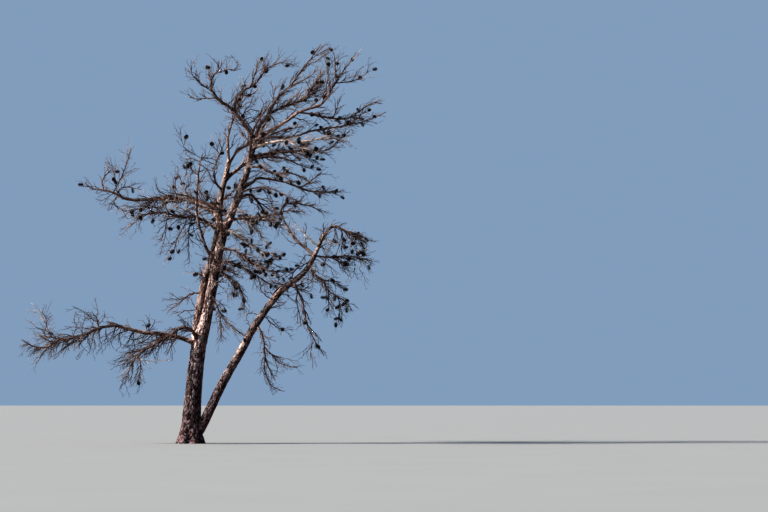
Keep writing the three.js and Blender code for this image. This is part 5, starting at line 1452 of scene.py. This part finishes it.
class Lines:
    """Twigs of one kind: their rings' places and radii, and of each its mass, tone, lean, fullness and
    side twigs' length."""

    def __init__(self, points, radii, mass, tone, lean=None, full=None, long=None):
        self.points = points
        self.radii = radii
        self.mass = mass
        self.tone = tone
        own_lean = [MASSES[n]["lean"] for n in mass] if lean is None else lean
        self.lean = np.array(own_lean, float).reshape(-1, 3)
        self.full = np.ones(len(mass)) if full is None else full
        self.long = np.ones(len(mass)) if long is None else long

    def keep(self, which):
        fields = (self.points, self.radii, self.mass, self.tone, self.lean, self.full, self.long)
        return Lines(*(field[which] for field in fields))


def wander(count, rings, amount, seed):
    """Sideways steps at each ring of each line, none at its ends."""
    line = np.arange(count)[:, None, None]
    ring = np.arange(rings)[None, :, None]
    axis = np.arange(3)[None, None]
    steps = chance(seed, line, ring, axis) - 0.5
    steps = steps * np.sin(np.linspace(0, math.pi, rings))[None, :, None] ** 0.5
    return steps * amount[:, None, None]


def crooked(root, heading, reach, lean, level, seed):
    """Lines that set out along a heading, turn a little at each ring, and lean more and more."""
    rings = level["rings"]
    line = np.arange(len(root))
    points = np.empty((len(root), rings, 3))
    points[:, 0] = root
    for ring in range(1, rings):
        points[:, ring] = points[:, ring - 1] + heading * (reach / (rings - 1))[:, None]
        kink = np.stack([chance(seed, line, ring, axis) for axis in range(3)], axis=1) - 0.5
        heading = unit(heading + level["kink"] * kink + level["pull"] * lean)
    return points


def tone_of(mass, key):
    """The material of one spray, by chance. A pale mass has mostly bare, bleached twigs."""
    roll = chance(71, mass, key)
    plain = np.select([roll < share for share in PLAIN_SHARES], [GREY, PURPLE, DARK], PALE)
    bleached = np.select([roll < share for share in PALE_SHARES], [PALE, GREY], PURPLE)
    pale_numbers = [n for n, m in enumerate(MASSES) if m["name"] in PALE_MASSES]
    return np.where(np.isin(mass, pale_numbers), bleached, plain)


def straight_twigs():
    """The twigs that the solids have, bent so that each starts nearer to its stem's heading."""
    rows = [(n, *t) for n, m in enumerate(MASSES) for t in twigs[m["name"]]]
    mass = np.array([r[0] for r in rows])
    root = np.array([r[1] for r in rows])
    tip = np.array([r[2] for r in rows])
    foot = np.array([r[3] for r in rows])
    lean = np.array([MASSES[n]["lean"] for n in mass], float)
    t = np.linspace(0, 1, TWIG_RINGS)
    points = root[:, None] + (tip - root)[:, None] * t[None, :, None]
    length = np.linalg.norm(tip - root, axis=1)
    arch = unit(lean + TWIG_LIFT) * (-TWIG_ARCH * length)[:, None]
    points += arch[:, None] * np.sin(math.pi * t**ARCH_EASE)[None, :, None]
    points += wander(len(rows), TWIG_RINGS, TWIG_KINK * length, 81)
    foot = np.maximum(foot * TWIG_FOOT_SHARE, LEAST_TWIG_FOOT)
    radii = foot[:, None] + (TWIG_TIP - foot)[:, None] * t[None] ** ARCH_EASE
    return Lines(points, radii, mass, tone_of(mass, np.arange(len(rows))))


def shoots(parents, level, seed):
    """Side shoots along lines, by the rule that the twigs follow."""
    gaps = np.linalg.norm(np.diff(parents.points, axis=1), axis=2)
    length = gaps.sum(axis=1)
    count = np.floor(length * parents.full / level["spacing"]).astype(int)
    who = np.repeat(np.arange(len(count)), count)
    number = np.arange(len(who)) - np.repeat(np.cumsum(count) - count, count)
    roll = [chance(seed, who, number, n) for n in range(6)]
    share = between(level["span"], (number + between(TWIG_JITTER, roll[0])) / count[who])
    rings = parents.points.shape[1]
    i = np.minimum((share * (rings - 1)).astype(int), rings - 2)
    w = (share * (rings - 1) - i)[:, None]
    low, high = parents.points[who, i], parents.points[who, i + 1]
    root = low * (1 - w) + high * w
    thick_here = parents.radii[who, i] * (1 - w[:, 0]) + parents.radii[who, i + 1] * w[:, 0]
    heading = unit(high - low)
    level_side, over = side_ways(heading)
    turn = GOLDEN_TURN * number + 2 * math.pi * chance(seed, who, 7) + TWIG_TURN_JITTER * roll[1]
    spread = between(SHOOT_SPREAD, roll[2])
    lean = parents.lean[who]
    side = level_side * np.cos(turn)[:, None] + over * (np.sin(turn) * TWIG_FLATNESS)[:, None]
    outward = heading * np.cos(spread)[:, None] + side * np.sin(spread)[:, None]
    direction = unit(outward + SHOOT_LEAN * lean)
    if "reach" in level:
        reach = np.array([m["reach"] for m in MASSES])[parents.mass[who]] * between(level["reach"], roll[3])
    else:
        reach = between(level["length"], roll[3] ** SHOOT_LENGTH_EASE)
    reach = reach * (1 - SHOOT_SHORTENING * share) * parents.long[who]
    root = root + direction * (SHOOT_DEPTH * thick_here)[:, None]
    points = crooked(root, direction, reach, lean + heading, level, seed + 1)
    foot = np.minimum(level["radius"] * between(SHOOT_FOOT, roll[5]), SHOOT_FOOT_SHARE * thick_here)
    end = np.minimum(level["tip"], foot)
    radii = foot[:, None] + (end - foot)[:, None] * np.linspace(0, 1, level["rings"])[None]
    made = Lines(points, radii, parents.mass[who], parents.tone[who], lean)
    return made.keep(clear_of_limbs(points))


def clear_of_limbs(points):
    """True for lines whose middle and end keep out of every limb and stay in the crown."""
    clear = np.ones(len(points), bool)
    low, high = np.array(CAD_BOX[0]) - REACH_SLACK, np.array(CAD_BOX[1]) + REACH_SLACK
    for ring in (points.shape[1] // 2, points.shape[1] - 1):
        p = points[:, ring]
        clear &= np.all((p > low) & (p < high), axis=1)
        for span in spans_of(len(p)):
            _, d = to_pieces(p[span], wood.a[:thick], wood.b[:thick])
            clear[span] &= np.all(d > wood.radius[:thick] + TWIG_CLEARANCE, axis=1)
    return clear


def stem_lines(mass, path, path_number):
    """One stem or fork as a smooth line with small kinks, at the rings of its own mesh."""
    name = MASSES[mass]["name"]
    rings = max(6, math.ceil(path.length / STEM_STEP))
    share = np.linspace(0, 1, rings)
    points = path.smooth(share)[None]
    points = points + wander(1, rings, np.array([STEM_KINK]), 91 + 13 * mass + path_number)
    if path_number == 0 or path.foot > THICK_FORK:
        points[0, 0] = path.smooth(np.zeros(1))[0]
    uneven = between(STEM_UNEVENNESS, chance(92, mass, path_number, np.arange(rings)))
    radii = (path.radius(share) * uneven * SLIMNESS.get(name, 1))[None]
    tone = PALE_STEM if name in PALE_MASSES else STEM
    return Lines(points, radii, np.array([mass]), np.array([tone]))


def fullness(name):
    return FULLNESS.get(name, 1.0)


def line_on(path, name, number, full, start=STEM_SHOOT_START):
    """One limb, stem or fork as what side twigs grow on: its points, radii, mass, lean and so on."""
    share = np.linspace(start, 1, STEM_SHOOT_RINGS)
    lean = LIMB_LEANS.get(name, MASSES[number]["lean"])
    return path.smooth(share), path.radius(share), number, lean, full, SPRAY_LENGTH.get(name, 1)


def parents_of(rows, key):
    """Lines to grow side twigs on, from the rows of line_on."""
    points, radii, mass, lean, full, long = (np.array(column) for column in zip(*rows))
    tone = tone_of(mass, key + np.arange(len(mass)))
    return Lines(points, radii, mass, tone, lean, full, long)


def spray_parents():
    """Stems and forks as lines of one number of rings, for twigs to grow on."""
    rows = []
    for n, m in enumerate(MASSES):
        for path_number, path in enumerate(stems[m["name"]]):
            forked = FORK_FULLNESS.get(m["name"], 1) if path_number else 1
            rows.append(line_on(path, m["name"], n, fullness(m["name"]) * forked))
    return parents_of(rows, 500)


def mass_on(carrier):
    """The number of a mass, or of the first mass that grows on a limb."""
    return next(n for n, m in enumerate(MASSES) if carrier in (m["name"], m["parent"]))


def limb_parents():
    """The limbs above their bare foot, each with the number of a mass that grows on it."""
    rows = []
    for name, path in limb_paths.items():
        share = np.linspace(LIMB_SHOOT_START, 1, LIMB_SAMPLES)
        share = share[path.smooth(share)[:, 2] > (BARE_HEIGHT if path.foot > LEADER_RADIUS else 0)]
        if len(share) > FEWEST_SAMPLES and fullness(name):
            rows.append(line_on(path, name, mass_on(name), fullness(name), share[0]))
    return parents_of(rows, 700)


def on_sight_line(x, z, depth):
    """The place at a depth which looks from the camera as if it were at x and z in the trunk's own plane."""
    eye = np.array([MIDDLE_X, -CAMERA_DISTANCE, CAMERA_HEIGHT])
    return tuple(eye + (np.array([x, 0, z]) - eye) * (CAMERA_DISTANCE + depth) / CAMERA_DISTANCE)


def sprig_lines():
    """The small branches that are named one by one, each from the centre line of its carrier."""
    points, radii, mass, lean = [], [], [], []
    rows = [(carrier, *row) for carrier, group in SPRIGS.items() for row in group]
    for number, (carrier, _, foot, depth, route) in enumerate(rows):
        carriers = [limb_paths[carrier]] if carrier in limb_paths else stems[carrier]
        line = np.concatenate([path.smooth(np.linspace(0, 1, CARRIER_SAMPLES)) for path in carriers])
        root = line[np.argmin(np.linalg.norm(line[:, [0, 2]] - route[0], axis=1))]
        depths = root[1] + depth * np.linspace(0, 1, len(route))
        seen = [on_sight_line(x, z, y) for (x, z), y in zip(route[1:], depths[1:])]
        path = Path([root, *seen], foot, SPRIG_TIP, STEM_STEP)
        share = np.linspace(0, 1, SPRIG_RINGS)
        bends = wander(1, SPRIG_RINGS, np.array([SPRIG_KINK * path.length]), 171 + number)
        points.append(path.smooth(share) + bends[0])
        radii.append(path.radius(share))
        mass.append(mass_on(carrier))
        lean.append(LIMB_LEANS.get(carrier, MASSES[mass[-1]]["lean"]))
    mass = np.array(mass)
    tone = np.array([row[1] for row in rows])
    return Lines(np.array(points), np.array(radii), mass, tone, SPRIG_LEAN * np.array(lean, float))


def retoned(lines, key):
    """The same lines, each with a tone of its own."""
    tone = tone_of(lines.mass, key + np.arange(len(lines.mass)))
    return Lines(lines.points, lines.radii, lines.mass, tone, lines.lean, lines.full, lines.long)


plain_twigs = straight_twigs()
sprigs = sprig_lines()
boughlets = retoned(shoots(spray_parents(), BOUGHLETS, 101), 900)
limb_boughlets = retoned(shoots(limb_parents(), LIMB_BOUGHLETS, 105), 1900)
branchlets = [
    retoned(shoots(spray_parents(), BRANCHLETS, 111), 5000),
    retoned(shoots(limb_parents(), LIMB_BRANCHLETS, 121), 9000),
    shoots(plain_twigs, BRANCHLETS, 131),
    shoots(boughlets, BRANCHLETS, 141),
    shoots(limb_boughlets, BRANCHLETS, 145),
    shoots(sprigs, BRANCHLETS, 149),
]
fine = [shoots(lines, SHOOTS, 151 + 10 * n) for n, lines in enumerate(branchlets)]


def twig_piece(name, masses):
    """The stems, twigs and shoots of some masses."""
    soup = Soup()
    numbers = [n for n, m in enumerate(MASSES) if m["name"] in masses]
    for n in numbers:
        for path_number, path in enumerate(stems[MASSES[n]["name"]]):
            line = stem_lines(n, path, path_number)
            corners = STEM_CORNERS if path_number == 0 else FORK_CORNERS
            ring = np.arange(line.radii.shape[1])[:, None]
            rough = between(CORNER_UNEVENNESS, chance(93, n, path_number, ring, np.arange(corners)))
            add_tubes(soup, line.points, line.radii[..., None] * rough[None], corners, line.tone)
    kinds = [(plain_twigs, TWIG_CORNERS), (sprigs, TWIG_CORNERS)]
    kinds += [(boughlets, BOUGHLET_CORNERS), (limb_boughlets, BOUGHLET_CORNERS)]
    kinds += [(lines, FINE_CORNERS) for lines in branchlets + fine]
    for lines, corners in kinds:
        mine = lines.keep(np.isin(lines.mass, numbers))
        if len(mine.points):
            add_tubes(soup, mine.points, mine.radii, corners, mine.tone)
    piece = link(name, soup.mesh(name))
    for material in TWIG_MATERIALS:
        piece.data.materials.append(material)
    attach(piece, "root")
    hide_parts(*masses)


for name, masses in TWIG_PIECES.items():
    twig_piece(name, masses)


# Cones

CONE_SCALES = 42
CONE_KINDS = 4
MORE_CONE_TRIES = 14
CLUSTER_CHANCE = 0.3
CORE_ROWS = 6
CORE_COLUMNS = 8
CORE_SPAN = (0.02, 0.93)  # of the cone's length
PERCH_START = 0.15  # the share of a stem or fork where its cones begin
PERCHES = 14  # places along each stem or fork
PERCH_SPAN = (0.25, 0.98)  # of a line, where its cones sit
CONE_SINKING = 0.6  # how much a cone may hang
CONE_FOOT_GAP = 0.006  # from the centre line of its twig
CLUSTER_LENGTH = 0.05  # along the twig
CONE_DISTANCE = 0.085  # the least between two cones' middles
CONE_SQUEEZE = 0.9  # the share of its radius that has to be free


def cone_shape(seed):
    """One open cone of unit length along +Z from its foot, with its scales set in a spiral."""
    vertices = []
    rows, columns = CORE_ROWS, CORE_COLUMNS
    for h in np.linspace(*CORE_SPAN, rows):
        angle = np.arange(columns) * 2 * math.pi / columns
        r = 0.2 * math.sin(math.pi * min(1, 0.1 + 0.9 * h)) ** 0.7 + 0.01
        vertices += [(r * math.cos(a), r * math.sin(a), h) for a in angle]
    quads = [(i * columns + k, i * columns + (k + 1) % columns, (i + 1) * columns + (k + 1) % columns,
              (i + 1) * columns + k) for i in range(rows - 1) for k in range(columns)]
    triangles = []
    top = (rows - 1) * columns
    for k in range(1, columns - 1):
        triangles += [(0, k + 1, k), (top, top + k, top + k + 1)]
    tri_tones = [0] * len(triangles)
    count = rows * columns
    for n in range(CONE_SCALES):
        t = (n + 0.5) / CONE_SCALES
        turn = GOLDEN_TURN * n + 0.25 * float(chance(201, seed, n, 0))
        h = 0.03 + 0.86 * t**0.9
        widest = 0.62 * math.sin(math.pi * (0.2 + 0.72 * t)) ** 0.6
        reach = widest * (0.9 + 0.2 * float(chance(201, seed, n, 1)))
        rise = -0.06 + 0.3 * t
        out = np.array([math.cos(turn), math.sin(turn), 0])
        side = np.array([-math.sin(turn), math.cos(turn), 0])
        up = np.array([0, 0, 1.0])
        width = 0.085 + 0.08 * math.sin(math.pi * (0.15 + 0.75 * t))
        root = out * 0.06 + up * h
        tip = out * reach + up * (h + rise)
        middle = root * 0.3 + tip * 0.7
        vertices += [tuple(root), tuple(tip), tuple(middle - side * width), tuple(middle + side * width),
                     tuple(middle + up * 0.05), tuple(middle - up * 0.02)]
        r, p, left, right, top, under = range(count, count + 6)
        triangles += [(r, top, left), (left, top, p), (r, right, top), (top, right, p),
                      (r, left, under), (left, p, under), (r, under, right), (under, p, right)]
        tri_tones += [0, 1, 0, 1, 0, 0, 0, 0]
        count += 6
    return np.array(vertices), np.array(quads), np.array(triangles), np.array(tri_tones)


def more_cones(n, mass):
    """Cones along a mass's twigs and forks, often two or three together, till it has its number."""
    name = mass["name"]
    perches = [plain_twigs.points[k] for k in np.flatnonzero(plain_twigs.mass == n)]
    perches += [path.smooth(np.linspace(PERCH_START, 1, PERCHES)) for path in stems[name]]
    perches += [sprigs.points[k] for k in np.flatnonzero((sprigs.mass == n) & (sprigs.tone == STEM))]
    made = []
    spot = None
    for i in range(MORE_CONE_TRIES * mass["cones"]):
        if len(cones[name]) + len(made) >= mass["cones"]:
            break
        roll = [float(chance(n, CONE_KEY + 1, i, k)) for k in range(9)]
        if spot is None or roll[0] > CLUSTER_CHANCE:
            line = perches[math.floor(roll[1] * len(perches))]
            f = between(PERCH_SPAN, roll[2]) * (len(line) - 1)
            k = min(int(f), len(line) - 2)
            spot = line[k] * (1 - f + k) + line[k + 1] * (f - k)
            heading = unit(line[k + 1] - line[k])
        aside = np.array(roll[3:6]) - 0.5
        aside = unit(aside - heading * (aside @ heading))
        direction = unit(aside + 0.25 * heading + np.array([0, 0, -CONE_SINKING * roll[6]]))
        length = between(CONE_LENGTH, roll[7])
        foot = spot + direction * CONE_FOOT_GAP + heading * (CLUSTER_LENGTH * (roll[8] - 0.5))
        end = foot + direction * length
        radius = length * CONE_WIDTH_SHARE / 2
        number = mass_numbers[name]
        gaps = [np.linalg.norm((c[0] + c[1] * c[2] / 2) - (foot + end) / 2) for c in cones[name] + made]
        if min(gaps, default=1) > CONE_DISTANCE and wood.fits(number, foot, end, radius * CONE_SQUEEZE):
            wood.add(number, foot, end, radius)
            made.append((foot, direction, length))
    return made


def cones_piece(name, placed):
    """All the cones, each turned its own way."""
    soup = Soup()
    shapes = [cone_shape(k) for k in range(CONE_KINDS)]
    for n, (foot, direction, length) in enumerate(placed):
        vertices, quads, triangles, tones = shapes[n % CONE_KINDS]
        side = unit(np.cross(direction, (0.3, 0.9, 0.1)))
        turn = 2 * math.pi * float(chance(211, n))
        over = np.cross(direction, side)
        x = side * math.cos(turn) + over * math.sin(turn)
        y = np.cross(direction, x)
        wide = length * CONE_WIDTH_SHARE * (0.92 + 0.16 * float(chance(212, n)))
        corners = foot + vertices @ np.array([x * wide, y * wide, direction * length])
        soup.add(corners, [quads, triangles], [np.zeros(len(quads), int), tones])
    piece = link(name, soup.mesh(name))
    piece.data.polygons.foreach_set("use_smooth", np.zeros(len(piece.data.polygons), bool))
    for material in CONE_MATERIALS:
        piece.data.materials.append(material)
    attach(piece, "root")


for n, mass in enumerate(MASSES):
    cones[mass["name"]] += more_cones(n, mass)
cones_piece("cones", [cone for group in cones.values() for cone in group])


# Floor, light and camera

SENSOR_WIDTH = 36.0
FLOOR_SIZE = 400.0
FLOOR_DROP = 0.002  # below the tree's flat cut
SUN_FROM = (-0.98, -0.13, 0.68)
SUN_STRENGTH = 7.6
SUN_SIZE = 9  # degrees
SUN_COLOUR = (1.0, 0.955, 0.9)
SKY_COLOUR = (0.42, 0.58, 0.8)
SKY_STRENGTH = 0.5
FAR_END = 600.0  # of the camera's view


def floor():
    mesh = bpy.data.meshes.new("floor")
    half = FLOOR_SIZE / 2
    corners = [(-half, -half, 0), (half, -half, 0), (half, half, 0), (-half, half, 0)]
    mesh.from_pydata(corners, [], [(0, 1, 2, 3)])
    piece = link("floor", mesh)
    piece.location.z = -FLOOR_DROP
    material, tree, shader = principled("floor", 0.95)
    place = tree.nodes.new("ShaderNodeTexCoord").outputs["Object"]
    shade = mix(tree, noise(tree, place, 0.6, 2), (0.235, 0.232, 0.225), (0.25, 0.247, 0.24))
    tree.links.new(shade, shader.inputs["Base Color"])
    mesh.materials.append(material)


def light():
    lamp = bpy.data.lights.new("key", "SUN")
    lamp.energy = SUN_STRENGTH
    lamp.angle = math.radians(SUN_SIZE)
    lamp.color = SUN_COLOUR
    key = link("key", lamp)
    key.rotation_euler = Vector(SUN_FROM).to_track_quat("Z", "Y").to_euler()
    world = bpy.data.worlds.new("studio")
    bpy.context.scene.world = world
    world.use_nodes = True
    background = world.node_tree.nodes["Background"]
    background.inputs["Color"].default_value = (*SKY_COLOUR, 1)
    background.inputs["Strength"].default_value = SKY_STRENGTH
    bpy.context.scene.view_settings.view_transform = "Standard"
    bpy.context.scene.view_settings.look = "High Contrast"


def camera():
    lens = bpy.data.cameras.new("camera")
    lens.sensor_width = SENSOR_WIDTH
    lens.lens = SENSOR_WIDTH * CAMERA_DISTANCE / (PHOTO_SIZE[0] * PIXEL)
    eye = link("camera", lens)
    eye.location = (MIDDLE_X, -CAMERA_DISTANCE, CAMERA_HEIGHT)
    eye.rotation_euler = (math.pi / 2 + math.atan2(MIDDLE_Z - CAMERA_HEIGHT, CAMERA_DISTANCE), 0, 0)
    lens.clip_end = FAR_END
    bpy.context.scene.camera = eye


floor()
light()
camera()
